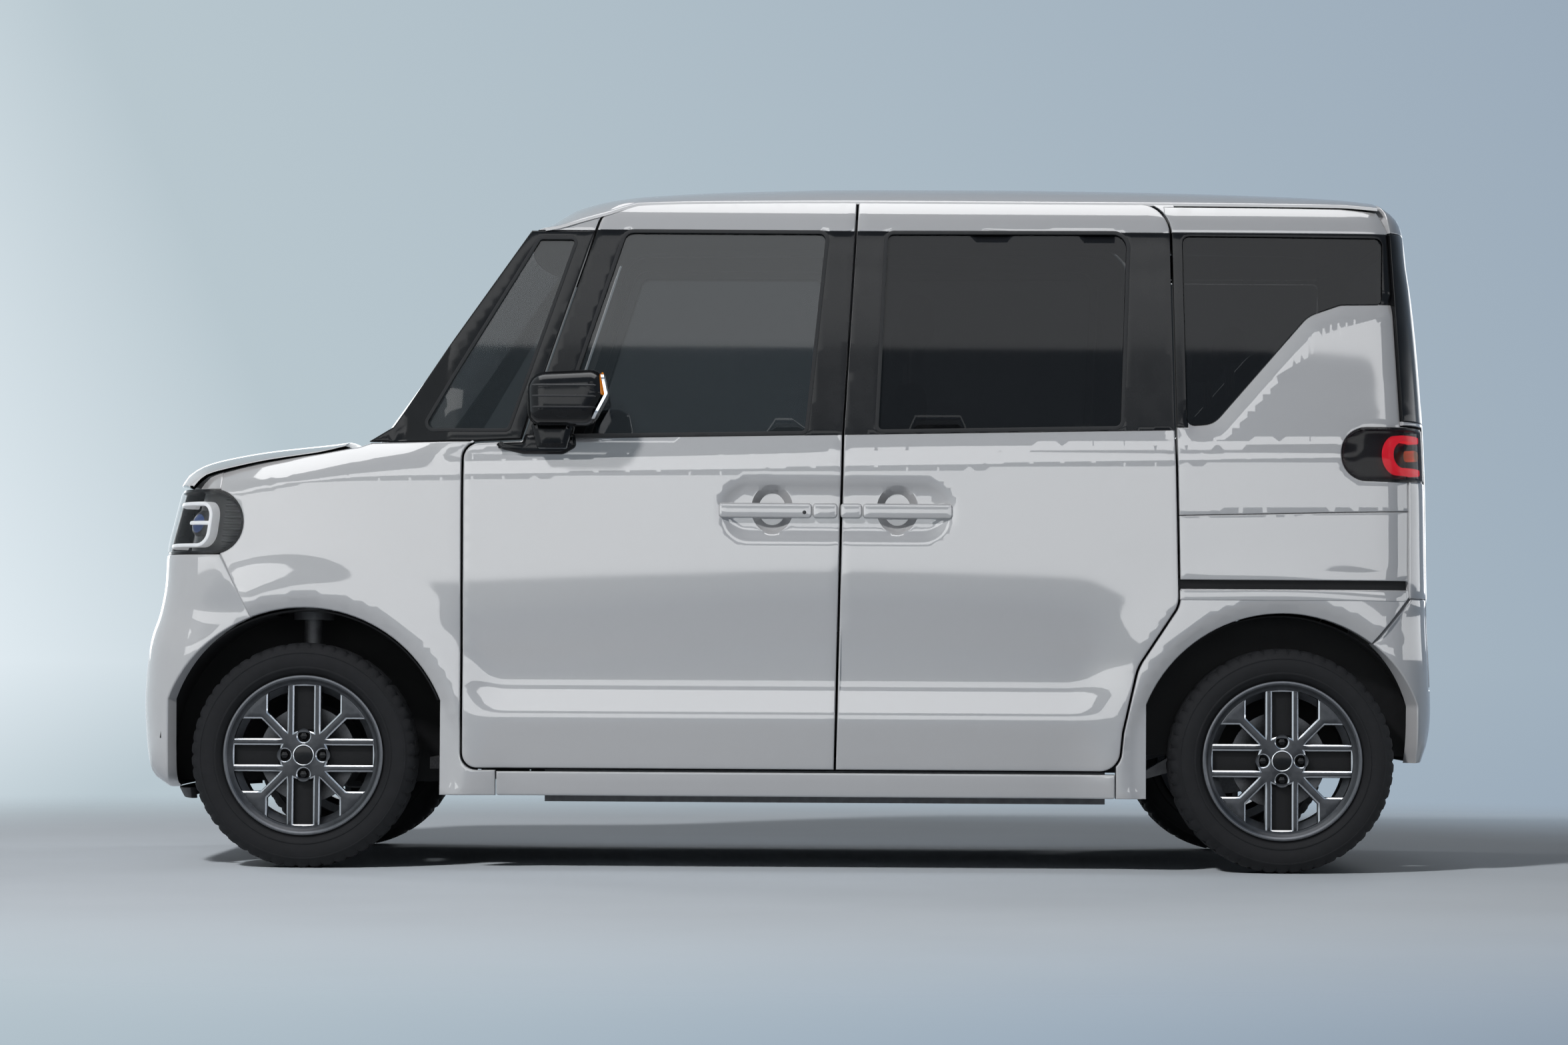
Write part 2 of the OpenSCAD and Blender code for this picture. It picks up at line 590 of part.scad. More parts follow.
// Dashboard with its steering column
column = [-470, 340, 1000];
column_a = 30;
module dashboard() color(black) {
  difference() {
    across(seam - 560, 560 - seam) polygon(outline([[-931.6, 690], [-931.6, 1066], [-880, 1084, 20], [-650, 1062, 40],
      [-604, 950, 50], [-690, 700, 30]]));
    box([-720 * kx, -180, 500], [-500 * kx, 180, 800]);
  }
  translate([column[0] * kx, column[1], column[2]]) rotate([0, -column_a - 90, 0]) {
    translate([0, 0, 34]) cylinder(h = 190, r = 38, $fn = 48);
    translate([0, 0, -2]) cylinder(h = 60, r = 11, $fn = 48);
  }
}
module steering_wheel() color(black)
  translate([column[0] * kx, column[1], column[2]]) rotate([0, 90 - column_a, 0]) difference() {
  union() {
    rotate_extrude($fn = 96) translate([wheel_d / 2 - grip_d / 2, 0]) circle(d = grip_d, $fn = 32);
    translate([0, 0, -28]) cylinder(h = 40, r = 48, $fn = 48);
    for (a = [90, 180, 270]) rotate([0, 0, a + 90]) box([30, -18, -14], [wheel_d / 2 - grip_d / 2, 18, 0]);
  }
  translate([0, 0, -29]) cylinder(h = 32, r = 11 + play, $fn = 48);
}

// Seats
module front_seat() {
  across(-seat_w / 2, seat_w / 2) polygon(outline([[-190, 500, 40], [-205, 640, 55], [150, 600, 30],
    [255, 1290, 60], [375, 1310, 60], [300, 500, 60]]));
  across(-130, 130) polygon(outline([[272, 1370, 30], [290, 1530, 40], [380, 1530, 40], [392, 1370, 30]]));
  for (y = [-60, 60]) translate([325 * kx, y, 1270]) cylinder(h = 130, r = 7, $fn = 24);
  for (y = [-190, 150]) box([-130 * kx, y, floor_z + seam], [240 * kx, y + 40, 520]);
}
module front_seats() color(cloth) {
  translate([0, seat_y, 0]) front_seat();
  translate([0, -seat_y, 0]) front_seat();
}
module rear_seat() color(cloth) {
  across(-bench_half, bench_half) polygon(outline([[690, 560, 40], [680, 690, 55], [1020, 650, 30],
    [1130, 1270, 50], [1235, 1285, 50], [1160, 580, 40]]));
  box([980 * kx, -400, load_z + seam], [1140 * kx, 400, 600]);
  for (y = [-270, 270]) translate([0, y, 0]) {
    across(-130, 130) polygon(outline([[1130, 1330, 25], [1140, 1450, 30], [1215, 1450, 30],
      [1225, 1330, 25]]));
    for (d = [-60, 60]) translate([1180 * kx, d, 1240]) cylinder(h = 110, r = 7, $fn = 24);
  }
}

// Battery under the floor and the drive unit, plain blocks
module battery_pack() color(grey) box([-640 * kx, -500, 168], [830 * kx, 500, floor_z - floor_t - seam]);
module drive_unit() color(metal) {
  box([-1490 * kx, -290, 330], [-1060 * kx, 290, 700]);
  both() box([-1420 * kx, 280, 480], [-1380 * kx, wing_y - 20 - seam, 540]);
}

// Front cross-member with lower arms, pins and steering rack
module front_subframe() color(grey) {
  box([-1340 * kx, -340, 250], [-1080 * kx, 340, 330 - seam]);
  both() {
    box([-1340 * kx, wing_y - 20, 290], [-1080 * kx, wing_y, 330 - seam]);
    box([-1340 * kx, 300, 250], [-1080 * kx, wing_y, 292]);
    along(fx - 22, fx + 22) polygon([[330, 250], [330, 285], [420, 285], [king_y(190) - 20, 192],
      [king_y(190) + 8, 192], [king_y(190) + 8, 172], [king_y(190) - 30, 172]]);
    translate([fx, king_y(182), 182]) rotate([king_tilt, 0, 0]) cylinder(h = 52, d = 16, $fn = 48);
  }
}

// Rear beam axle with trailing arms, hub carriers, springs and dampers
module rear_axle() color(grey) {
  box([1090 * kx, -500, 290], [1150 * kx, 500, 340]);
  both() {
    difference() {
      union() {
        across(470, 515) polygon([[860 * kx, 215], [860 * kx, 254.6], [930 * kx, 254.6], [1090 * kx, 350],
          [rx + 45, 330], [rx + 45, 250], [1090 * kx, 280]]);
        translate([rx, 590, wz]) rotate([90, 0, 0]) cylinder(h = 110, r = 42, $fn = 64);
      }
      translate([rx, 700, wz]) rotate([90, 0, 0]) cylinder(h = 300, d = spindle_d + 2 * play, $fn = 64);
    }
    translate([1150 * kx, 440, 330]) cylinder(h = load_z - floor_t - seam - 330, r = 50, $fn = 48);
    translate([rx + 30, 490, 320]) cylinder(h = load_z - floor_t - seam - 320, r = 22, $fn = 48);
  }
}

// Windscreen wipers lying along the screen's foot
module wipers() color(black) for (y = [-430, 120]) translate([0, y, 0]) {
  translate([-1110 * kx, 0, 1074 + seam]) cylinder(h = 18, r = 9, $fn = 32);
  along(-1116 * kx, -1106 * kx) polygon([[-5, 1079], [-5, 1087], [400, 1090], [400, 1082]]);
}

// Front doors with hinge pockets
module front_door() {
  px = -door_hinge_x * kx;
  difference() {
    intersection() {
      side_patch(-860 * kx, 190 * kx, 7, 250, zu(1746), 0, 0);
      union() {
        across(300, 900) difference() {
          grown(door_line, -shut_gap / 2);
          polygon(front_win);
        }
      }
    }
    intersection() {
      across(300, 900) difference() {
        square([5000, 5000], center = true);
        grown(door_line, -shut_gap / 2 - 18);
      }
      side_patch(-870 * kx, 200 * kx, 7, 240, zu(1750), 20, 200);
    }
    for (z = door_hinge_z) {
      box([-900 * kx, 500, z - 25], [px + 16, door_hinge_y + 7, z + 25]);
      translate([px, door_hinge_y, z - 44]) cylinder(h = 88, d = pin_d + 2 * play, $fn = 48);
    }
    handle_dish(-60);
  }
}
module front_door_right() color(paint) front_door();
module front_door_left() color(paint) mirror([0, 1, 0]) front_door();
module front_glass() {
  pane(-630, 110, 5, 1105, 1665, front_win);
}
module front_glass_right() color(clear) front_glass();
module front_glass_left() color(clear) mirror([0, 1, 0]) front_glass();

// Door mirrors
mirror_in = 742;
mirror_out = 885;
module door_mirror() {
  difference() {
    across(mirror_in, mirror_out) polygon(outline([[-672, 1138, 20], [-678, 1270, 30], [-480, 1282, 30],
      [-467, 1215, 20], [-510, 1138, 25]]));
    along(-800, -400) polygon([[mirror_out + 1, 1400], [mirror_out + 1, 1240], [mirror_out - 30, 1400]]);
  }
  difference() {
    across(690, mirror_in + 40) polygon(outline([[-655, 1072, 8], [-665, 1142, 8], [-560, 1142, 8],
      [-575, 1072, 8]]));
    side_patch(-700 * kx, -520 * kx, 4, 1050, zu(1170), -seam, 100);
  }
}
module mirror_right() color(black) door_mirror();
module mirror_left() color(black) mirror([0, 1, 0]) door_mirror();

// Bonnet: station, crown height, wrap round the nose, drop at the edge, inner skin back and down
bonnet_tab = [[-1602, 984, 1, 0, 20, 0], [-1592, 1018, 1, 34, 16, 8], [-1568, 1040, 0.9, 39, 8, 16],
  [-1540, 1054, 0.8, 38, 0, 22], [-1473, 1072, 0.55, 39, 0, 22], [-1368, 1090, 0.3, 36, 0, 22],
  [-1228, 1105, 0.1, 30, 0, 22], [-1152, 1112, 0, 20, 0, 22]];
bonnet_s = [-1, -0.98, -0.94, -0.86, -0.7, -0.4, 0, 0.4, 0.7, 0.86, 0.94, 0.98, 1];
bonnet_y = 674;
function nose_sag(y) = 225 * (1 - pw(1 - pw(abs(y) / 730, nose_n), 1 / nose_n));
function bonnet_pt(r, s, k) = let(e = pow(abs(s), 6))
  [r[0] * kx + r[2] * nose_sag(bonnet_y * s) + k * r[4], bonnet_y * s,
   r[1] - r[3] * pow(abs(s), 5) - k * r[5] * bonnet_t / 22 * (1 - 0.86 * e)];
bonnet_lugs = [[508, 521.5], [558.5, 572]];
module bonnet() color(paint) difference() {
  union() {
    shell([for (r = bonnet_tab) [for (s = bonnet_s) bonnet_pt(r, s, 0)]],
      [for (r = bonnet_tab) [for (s = bonnet_s) bonnet_pt(r, s, 1)]]);
    both() for (y = bonnet_lugs)
      box([-bonnet_hinge_x * kx - 10, y[0], bonnet_hinge_z - 10], [-bonnet_hinge_x * kx + 8, y[1], 1094]);
  }
  both() {
    box([-bonnet_hinge_x * kx - 14, 522, 1000], [-1100 * kx, 558, 1150]);
    translate([-bonnet_hinge_x * kx, 480, bonnet_hinge_z]) rotate([-90, 0, 0])
      cylinder(h = 120, d = 8 + 2 * play, $fn = 48);
  }
}

// Tailgate and its window
gate_win_z = [1196, 1630];
gate_win_y = 540;
gate_levels = concat([gate_low, 560, 632, 772, 900, 1023, 1158],
  [for (z = [1250, 1351, 1509, 1579, 1661, 1684, 1707, 1722, 1737, 1751]) zu(z)]);
module tailgate() color(paint) {
  ax = gate_hinge_x * kx;
  az = zu(gate_hinge_z);
  difference() {
    intersection() {
      tail_loft(gate_levels, 0, gate_t);
      across(-900, 900) union() {
        gate_line();
        polygon([xy([1583, 1159]), xy([1800, 1159]), [1800, 400], [1500, 400], [1500, 1100]]);
      }
    }
    both() box([1300, gate_w, 300], [1900, 900, 1158]);
    both() {
      box([1400, gate_arm_y - 16, az - 13], [ax + 13, gate_arm_y + 16, az + 60]);
      translate([ax, gate_arm_y - 30, az]) rotate([-90, 0, 0]) cylinder(h = 60, d = 8 + 2 * play, $fn = 48);
    }
    along(1300, 1900) translate([0, (zu(gate_win_z[0]) + zu(gate_win_z[1])) / 2]) offset(r = 40, $fn = 32)
      square([2 * gate_win_y - 80, zu(gate_win_z[1]) - zu(gate_win_z[0]) - 80], center = true);
  }
}
module tailgate_glass() color(clear) intersection() {
  tail_loft([zu(1180), zu(1351), zu(1509), zu(1579), zu(1640)], glass_in, glass_in + glass_t);
  along(1300, 1900) translate([0, (zu(gate_win_z[0]) + zu(gate_win_z[1])) / 2]) offset(r = 40 - seam, $fn = 32)
    square([2 * gate_win_y - 80, zu(gate_win_z[1]) - zu(gate_win_z[0]) - 80], center = true);
}

// Steering knuckle with strut, hub carrier and caliper
module knuckle() {
  difference() {
    union() {
      along(fx - 25, fx + 25) polygon([[555, 205], [590, 205], [590, 330], [560, 345], [540, 440], [490, 440],
        [490, 380], [530, 260]]);
      translate([fx, 590, wz]) rotate([90, 0, 0]) cylinder(h = 60, r = 44, $fn = 64);
      translate([fx, 515, 380]) rotate([-1.5, 0, 0]) translate([0, 0, -10]) rotate([3, 0, 0])
        cylinder(h = 300, r = 24, $fn = 48);
      translate([fx, 498, 640]) cylinder(h = 310, r = 52, $fn = 48);
      translate([fx, king_y(945), 945]) rotate([king_tilt, 0, 0]) cylinder(h = 44, d = 16, $fn = 48);
      box([fx, 574, 262], [fx + 142, 590, 318]);
      box([fx + 100, 574, 262], [fx + 142, 632, 318]);
    }
    translate([fx, 700, wz]) rotate([90, 0, 0]) cylinder(h = 300, d = spindle_d + 2 * play, $fn = 64);
    translate([fx, king_y(182), 182]) rotate([king_tilt, 0, 0]) cylinder(h = 62, d = 16 + 2 * play, $fn = 48);
    translate([fx, track / 2 - 34, wz]) rotate([90, 0, 0])
      cylinder(h = disc_t + 12, r = disc_d / 2 + 6, $fn = 96);
  }
}
module knuckle_right() color(grey) knuckle();
module knuckle_left() color(grey) mirror([0, 1, 0]) knuckle();

// Wheels, drawn with the axis along Z and the outer face up
rs = rim_seat_d / 2;
rl = rim_lip_d / 2;
rh = rim_w / 2;
arm_off = 34;
arm_w = 18;
module rim() {
  difference() {
    union() {
      rotate_extrude($fn = 128) polygon([[rs - 8, -rh], [rl - 4, -rh], [rl - 4, -rh + 7], [rs, -rh + 12],
        [rs, -rh + 30], [rs - 16, -rh + 44], [rs - 16, rh - 44], [rs, rh - 32], [rs, rh - 12], [rl, rh - 8],
        [rl, rh], [rl - 8, rh], [rs - 7, rh - 12], [rs - 7, rh - 30], [rs - 23, rh - 42], [rs - 23, -rh + 42],
        [rs - 8, -rh + 28]]);
      intersection() {
        translate([0, 0, rh - 36]) cylinder(h = 24, r = rs - 6, $fn = 128);
        translate([0, 0, rh - 60]) linear_extrude(height = 60) union() {
          for (a = [0 : 90 : 270]) rotate(a) {
            for (s = [-1, 1]) translate([20, s * arm_off - arm_w / 2]) square([rs, arm_w]);
            rotate(45) translate([20, -12]) square([120, 24]);
            difference() {
              translate([92, 92]) square([150, 150]);
              polygon([[80, 80], [80, 116], [116, 80]]);
            }
          }
          circle(r = 66, $fn = 96);
        }
      }
      translate([0, 0, -rh + 26]) cylinder(h = 2 * rh - 50, r = 58, $fn = 96);
      translate([0, 0, rh - 20]) cylinder(h = 12, d = cap_d, $fn = 64);
      translate([0, 0, -40 - disc_t / 2]) cylinder(h = disc_t, d = disc_d, $fn = 128);
      translate([0, 0, -104]) cylinder(h = 90, d = spindle_d, $fn = 64);
    }
    for (a = [0 : 90 : 270]) rotate([0, 0, a]) translate([bolt_pcd / 2, 0, rh - 24])
      cylinder(h = 30, d = 22, $fn = 48);
  }
}
tr = tyre_d / 2;
th = tyre_w / 2;
module tyre() {
  rotate_extrude($fn = 128) polygon([[rs + 0.3, -rh + 12.5], [rl - 3, -rh + 7.3], [rl + 6, -rh], [rl + 26, -th + 1],
    [rl + 40, -th], [tr - 22, -th + 6], [tr - 6, -th + 16], [tr, -th + 30], [tr, th - 30], [tr - 6, th - 16],
    [tr - 22, th - 6], [rl + 40, th], [rl + 26, th - 1], [rl + 6, rh], [rl + 1, rh - 8.3], [rs + 0.3, rh - 12.5],
    [rs + 0.3, rh - 30], [rs + 12, rh - 34], [rs + 12, -rh + 34], [rs + 0.3, -rh + 30]]);
}
module right_at(x) {
  translate([x, track / 2, wz]) rotate([-90, 0, 0]) children();
}
module left_at(x) {
  mirror([0, 1, 0]) right_at(x) children();
}
module rim_front_left() color(grey) left_at(fx) rim();
module rim_front_right() color(grey) right_at(fx) rim();
module rim_rear_left() color(grey) left_at(rx) rim();
module rim_rear_right() color(grey) right_at(rx) rim();
module tyre_front_left() color(black) left_at(fx) tyre();
module tyre_front_right() color(black) right_at(fx) tyre();
module tyre_rear_left() color(black) left_at(rx) tyre();
module tyre_rear_right() color(black) right_at(rx) tyre();

floor_pan();
sills();
front_frame();
pillars();
roof();
fenders();
rear_sides();
sliding_doors();
front_bumper();
front_panel();
rear_bumper();
rear_corners();
windscreen();
side_glass();
headlamps();
tail_lamps();
wheel_liners();
dashboard();
front_seats();
rear_seat();
battery_pack();
drive_unit();
front_subframe();
rear_axle();
wipers();
front_door_left();
front_door_right();
front_glass_left();
front_glass_right();
mirror_left();
mirror_right();
bonnet();
tailgate();
tailgate_glass();
knuckle_left();
knuckle_right();
rim_front_left();
rim_front_right();
rim_rear_left();
rim_rear_right();
tyre_front_left();
tyre_front_right();
tyre_rear_left();
tyre_rear_right();
steering_wheel();
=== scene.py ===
import math
import bpy
import numpy as np
from mathutils import Matrix, Vector
from mathutils.geometry import delaunay_2d_cdt


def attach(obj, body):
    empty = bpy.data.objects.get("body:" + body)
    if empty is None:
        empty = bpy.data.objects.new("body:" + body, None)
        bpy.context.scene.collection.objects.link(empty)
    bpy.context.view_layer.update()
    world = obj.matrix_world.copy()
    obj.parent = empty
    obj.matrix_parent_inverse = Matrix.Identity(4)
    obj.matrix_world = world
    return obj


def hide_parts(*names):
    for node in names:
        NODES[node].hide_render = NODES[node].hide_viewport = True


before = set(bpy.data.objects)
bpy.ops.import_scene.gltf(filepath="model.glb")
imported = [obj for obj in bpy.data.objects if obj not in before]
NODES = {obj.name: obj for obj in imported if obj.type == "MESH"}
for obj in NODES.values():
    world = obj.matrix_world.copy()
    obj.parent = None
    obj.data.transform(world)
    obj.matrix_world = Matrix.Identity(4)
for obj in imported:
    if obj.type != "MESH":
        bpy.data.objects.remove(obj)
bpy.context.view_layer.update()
scene = bpy.context.scene

# Sizes in millimetres, in the part's own frame: half width, axles, wheels, arches, ends, shut gap
HW, FX, RX, WZ, WHEEL_Y = 737.5, -1250.0, 1270.0, 289.5, 645.0
ARCH_R, ARCH_HALF, LIP_R, HOUSE_R = 380.0, 352.0, 410.0, 371.0
NOSE_X, TAIL_X, NOSE_N, TAIL_N = -1380.0, 1470.0, 5.5, 4.0
GAP = 6.0
# Top of the black band, height of the shoulder's rise, and the recess behind the door handles
TOP_Z, SHOULDER_H = 1659.0, 42.0
HANDLE_X, HANDLE_Z = (-106, 340), 927
FINGERS, FINGER_Z, FINGER_A, FINGER_B = (-47, 276), 931, 54, 63
# A millimetre in Blender's metres
MM = 0.001


# Smooth lines and the body's surfaces
def xyz(*c):
    """Points from their coordinates."""
    return np.stack(np.broadcast_arrays(*c), -1)


class Line:
    """Smooth monotone line through a table of points, flat beyond its ends."""

    def __init__(self, pts):
        p = np.array(pts, float)
        self.x, self.y = p[:, 0], p[:, 1]
        self.h = np.diff(self.x)
        d = np.diff(self.y) / self.h
        m = np.zeros(len(p))
        m[0], m[-1] = d[0], d[-1]
        both = d[:-1] * d[1:] > 0
        w1, w2 = 2 * self.h[1:] + self.h[:-1], self.h[1:] + 2 * self.h[:-1]
        with np.errstate(divide="ignore", invalid="ignore"):
            inner = (w1 + w2) / (w1 / d[:-1] + w2 / d[1:])
        m[1:-1] = np.where(both, inner, 0)
        self.m = m

    def __call__(self, q):
        q = np.clip(np.asarray(q, float), self.x[0], self.x[-1])
        i = np.clip(np.searchsorted(self.x, q) - 1, 0, len(self.h) - 1)
        h = self.h[i]
        t = (q - self.x[i]) / h
        a, b = self.y[i], self.y[i + 1]
        return (a * (1 + 2 * t) * (1 - t) ** 2 + self.m[i] * h * t * (1 - t) ** 2
                + b * t * t * (3 - 2 * t) + self.m[i + 1] * h * t * t * (t - 1))


SIDE = Line([(150, 32), (190, 26), (263, 16), (330, 8), (395, 2), (430, 10), (484, 21), (560, 18.5),
             (650, 12), (720, 6.6), (752, 5.7), (816, 5.5), (900, 6), (970, 7), (1041, 10), (1080, 12),
             (1115, 16), (1250, 32), (1400, 49), (1540, 66), (1660, 82), (1700, 94), (1725, 109),
             (1745, 130), (1760, 160)])
WALL = Line([(0, 75), (1060, 75), (1110, 45), (1655, 45), (1700, 25), (1900, 25)])
CUT = Line([(-1600, 972), (-1530, 975), (-1500, 1006), (-1450, 1025), (-1380, 1042), (-1300, 1057),
            (-1220, 1073), (-1150, 1088), (-1000, 1108)])
FRONT = Line([(150, 1600), (205, 1628), (222, 1657), (256, 1681), (352, 1694), (422, 1697.5), (544, 1690),
              (597, 1680), (649, 1662), (736, 1645), (813, 1641), (900, 1621), (979, 1599), (1016, 1586)])
REAR = Line([(150, 1660), (285, 1670), (330, 1686), (378, 1695), (422, 1697.5), (632, 1689), (772, 1686),
             (1023, 1682), (1158, 1677), (1351, 1664), (1509, 1647), (1579, 1636), (1661, 1627), (1684, 1622),
             (1707, 1611), (1722, 1596), (1737, 1576), (1751, 1542)])


def ease(v):
    c = np.clip(v, 0, 1)
    return c * c * (3 - 2 * c)


TUCK = Line([(-1000, 75), (-841, 61), (-400, 25), (85, 0), (500, 10), (750, 31), (885, 120), (1000, 130)])


def base_y(z):
    """Half width of the plain body at a height."""
    return HW - SIDE(z)


def tucked(x, z):
    """Body side with its tuck-under line arched: lower towards the wheels."""
    z = np.asarray(z, float)
    lift = np.clip((z - 484) / 110, 0, 1) * np.clip((900 - z) / 130, 0, 1)
    return HW - SIDE(z + TUCK(x) * ease(lift))


def taper(x):
    """How far the sides draw in towards the nose and the tail."""
    return 22 * (np.maximum(0, -x - 900) / 600) ** 2 + 18 * (np.maximum(0, x - 1150) / 450) ** 2


def roll(x, z):
    """How far the fender rolls in below the bonnet's edge."""
    return 46 * np.clip((z - CUT(x) + 75) / 75, 0, 1) ** 2 * np.clip((-x - 880) / 120, 0, 1)


def flare(x, z):
    """Share of the wheel arches' flare, 1 at their lips."""
    return np.maximum(ease((540 - np.hypot(x - FX, z - WZ)) / (540 - LIP_R)),
                      ease((577 - np.hypot(x - RX, z - WZ)) / (577 - LIP_R)))


def shoulder_z(x):
    """Height of the shoulder line, which climbs to the rear."""
    return 1004 + 0.027 * (x + 1100)


def side_y(x, z):
    """Half width of the body side, with its flares, arch lips, shoulder and rounded tail."""
    x, z = np.asarray(x, float), np.asarray(z, float)
    b = tucked(x, z) - taper(x) - roll(x, z)
    k = np.maximum(0, x - TAIL_X) / (REAR(z) - TAIL_X)
    r = np.minimum(np.hypot(x - FX, z - WZ), np.hypot(x - RX, z - WZ))
    lip = 13 * np.clip((LIP_R - r) / 30, 0, 1)
    rise = 6 * np.clip((z - shoulder_z(x)) / SHOULDER_H, 0, 1)
    return (b + (HW - b) * flare(x, z)) * np.maximum(0.3, 1 - k ** TAIL_N) ** (1 / TAIL_N) - lip - rise


def nose_w(z):
    """Half width where the nose begins."""
    return base_y(z) - taper(NOSE_X) + (HW - base_y(z)) * ease((680 - z) / 130)


def tail_w(z):
    """Half width where the tail begins."""
    return base_y(z) - taper(TAIL_X) + (HW - base_y(z)) * ease((690 - z) / 130)


class Wrap:
    """Nose or tail surface laid out flat: u runs round the car from its middle, z is height."""

    def __init__(self, x0, sign, reach, width, n, z_ref):
        self.x0, self.sign, self.reach, self.width, self.n = x0, sign, reach, width, n
        t = np.linspace(0, 1, 4001)
        self.a = np.pi / 2 * t ** 3 / (t ** 3 + (1 - t) ** 3)
        x = (reach(z_ref) - abs(x0)) * np.cos(self.a) ** (2 / n)
        y = width(z_ref) * np.sin(self.a) ** (2 / n)
        self.s = np.concatenate([[0], np.cumsum(np.hypot(np.diff(x), np.diff(y)))])

    def at(self, u, z, d=0.0):
        u, z = np.asarray(u, float), np.asarray(z, float)
        a = np.interp(np.abs(u), self.s, self.a)
        ahead = (self.reach(z) - abs(self.x0) - d) * np.maximum(0, np.cos(a)) ** (2 / self.n)
        x = self.x0 + self.sign * ahead
        y = (self.width(z) - d) * np.maximum(0, np.sin(a)) ** (2 / self.n)
        past = np.maximum(0, np.abs(u) - self.s[-1])
        x = np.where(past > 0, self.x0 - self.sign * past, x)
        y = np.where(past > 0, side_y(x, z) - d, y)
        return xyz(x, np.sign(u) * y, z)

    def of_x(self, x, z):
        ahead = (np.asarray(x, float) - self.x0) * self.sign
        k = np.clip(ahead / (self.reach(z) - abs(self.x0)), 0, 1)
        return np.interp(np.arccos(k ** (self.n / 2)), self.a, self.s) + np.maximum(0, -ahead)

    def of_y(self, y, z):
        k = np.clip(np.asarray(y, float) / self.width(z), 0, 1)
        return np.interp(np.arcsin(k ** (self.n / 2)), self.a, self.s)

    def flat(self, loop, step=6):
        p = dense(loop, step)
        return xyz(self.of_x(p[:, 0], p[:, 1]), p[:, 1])


NOSE = Wrap(NOSE_X, -1, FRONT, nose_w, NOSE_N, 600.0)
TAIL = Wrap(TAIL_X, 1, REAR, tail_w, TAIL_N, 900.0)


def side_at(x, z, d=0.0):
    """Points of the right side, d below its surface."""
    return xyz(x, side_y(x, z) - d, z)


# Flat outlines
def fillet(p, a, b, r, n=9):
    """Points of the arc that rounds corner p between a and b."""
    u, v = (a - p) / np.linalg.norm(a - p), (b - p) / np.linalg.norm(b - p)
    ang = math.acos(max(-1, min(1, float(u @ v))))
    d = min(r / math.tan(ang / 2), np.linalg.norm(a - p) * 0.49, np.linalg.norm(b - p) * 0.49)
    q = d * math.tan(ang / 2)
    c = p + (u + v) / np.linalg.norm(u + v) * q / math.sin(ang / 2)
    s, e = p + u * d - c, p + v * d - c
    a0 = math.atan2(s[1], s[0])
    k = math.atan2(e[1], e[0]) - a0
    k = k - 2 * math.pi if k > math.pi else k + 2 * math.pi if k < -math.pi else k
    return [c + q * np.array([math.cos(a0 + k * i / n), math.sin(a0 + k * i / n)]) for i in range(n + 1)]


def outline(q, n=9):
    """Closed loop through corners; a third value of a corner is its radius."""
    m = len(q)
    out = []
    for i, p in enumerate(q):
        at = [np.array(q[j % m][:2], float) for j in (i, i + m - 1, i + 1)]
        out += fillet(*at, p[2], n) if len(p) > 2 else [at[0]]
    return ccw(np.array(out))


def area(l):
    x, y = l[:, 0], l[:, 1]
    return 0.5 * float(np.sum(x * np.roll(y, -1) - y * np.roll(x, -1)))


def ccw(l):
    return l if area(l) > 0 else l[::-1]


def dense(l, step):
    """Loop with points no further apart than a step."""
    out = []
    for a, b in zip(l, np.roll(l, -1, axis=0)):
        k = max(1, int(math.ceil(np.linalg.norm(b - a) / step)))
        out += [a + (b - a) * i / k for i in range(k)]
    out = np.array(out)
    gap = np.linalg.norm(out - np.roll(out, 1, axis=0), axis=1)
    return out[gap > 0.4]


def normals(l):
    """Outward direction at each point of a loop, longer at corners."""
    e = np.roll(l, -1, axis=0) - l
    n = xyz(e[:, 1], -e[:, 0]) / np.maximum(1e-9, np.linalg.norm(e, axis=1))[:, None]
    m = n + np.roll(n, 1, axis=0)
    k = np.maximum(0.5, np.sum(m * m, axis=1) / 2)
    return m / k[:, None]


def grow(l, d):
    """Loop moved outward by d."""
    return l + normals(l) * d


def inside(l, p):
    """Which points lie inside one loop."""
    x, y = p[:, 0][:, None], p[:, 1][:, None]
    a, b = l, np.roll(l, -1, axis=0)
    with np.errstate(divide="ignore", invalid="ignore"):
        cross = (b[:, 0] - a[:, 0]) * (y - a[:, 1]) / (b[:, 1] - a[:, 1]) + a[:, 0]
    hit = ((a[:, 1] > y) != (b[:, 1] > y)) & (x < cross)
    return hit.sum(1) % 2 == 1


def within(loops, p):
    """Which points lie inside the outer loop and outside its holes."""
    return np.sum([inside(l, p) for l in loops], axis=0) % 2 == 1


def distance(p, start, span):
    """Distance of each point from the nearest of some straight pieces."""
    q = p[:, None] - start
    t = np.clip(np.sum(q * span, -1) / np.maximum(1e-9, np.sum(span * span, -1)), 0, 1)
    return np.linalg.norm(q - t[..., None] * span, axis=-1).min(1)


def far(loops, p, limit, batch=2000):
    """Which points lie further than a limit from every loop."""
    ok = np.ones(len(p), bool)
    for l in loops:
        for i in range(0, len(p), batch):
            ok[i:i + batch] &= distance(p[i:i + batch], l, np.roll(l, -1, axis=0) - l) > limit
    return ok


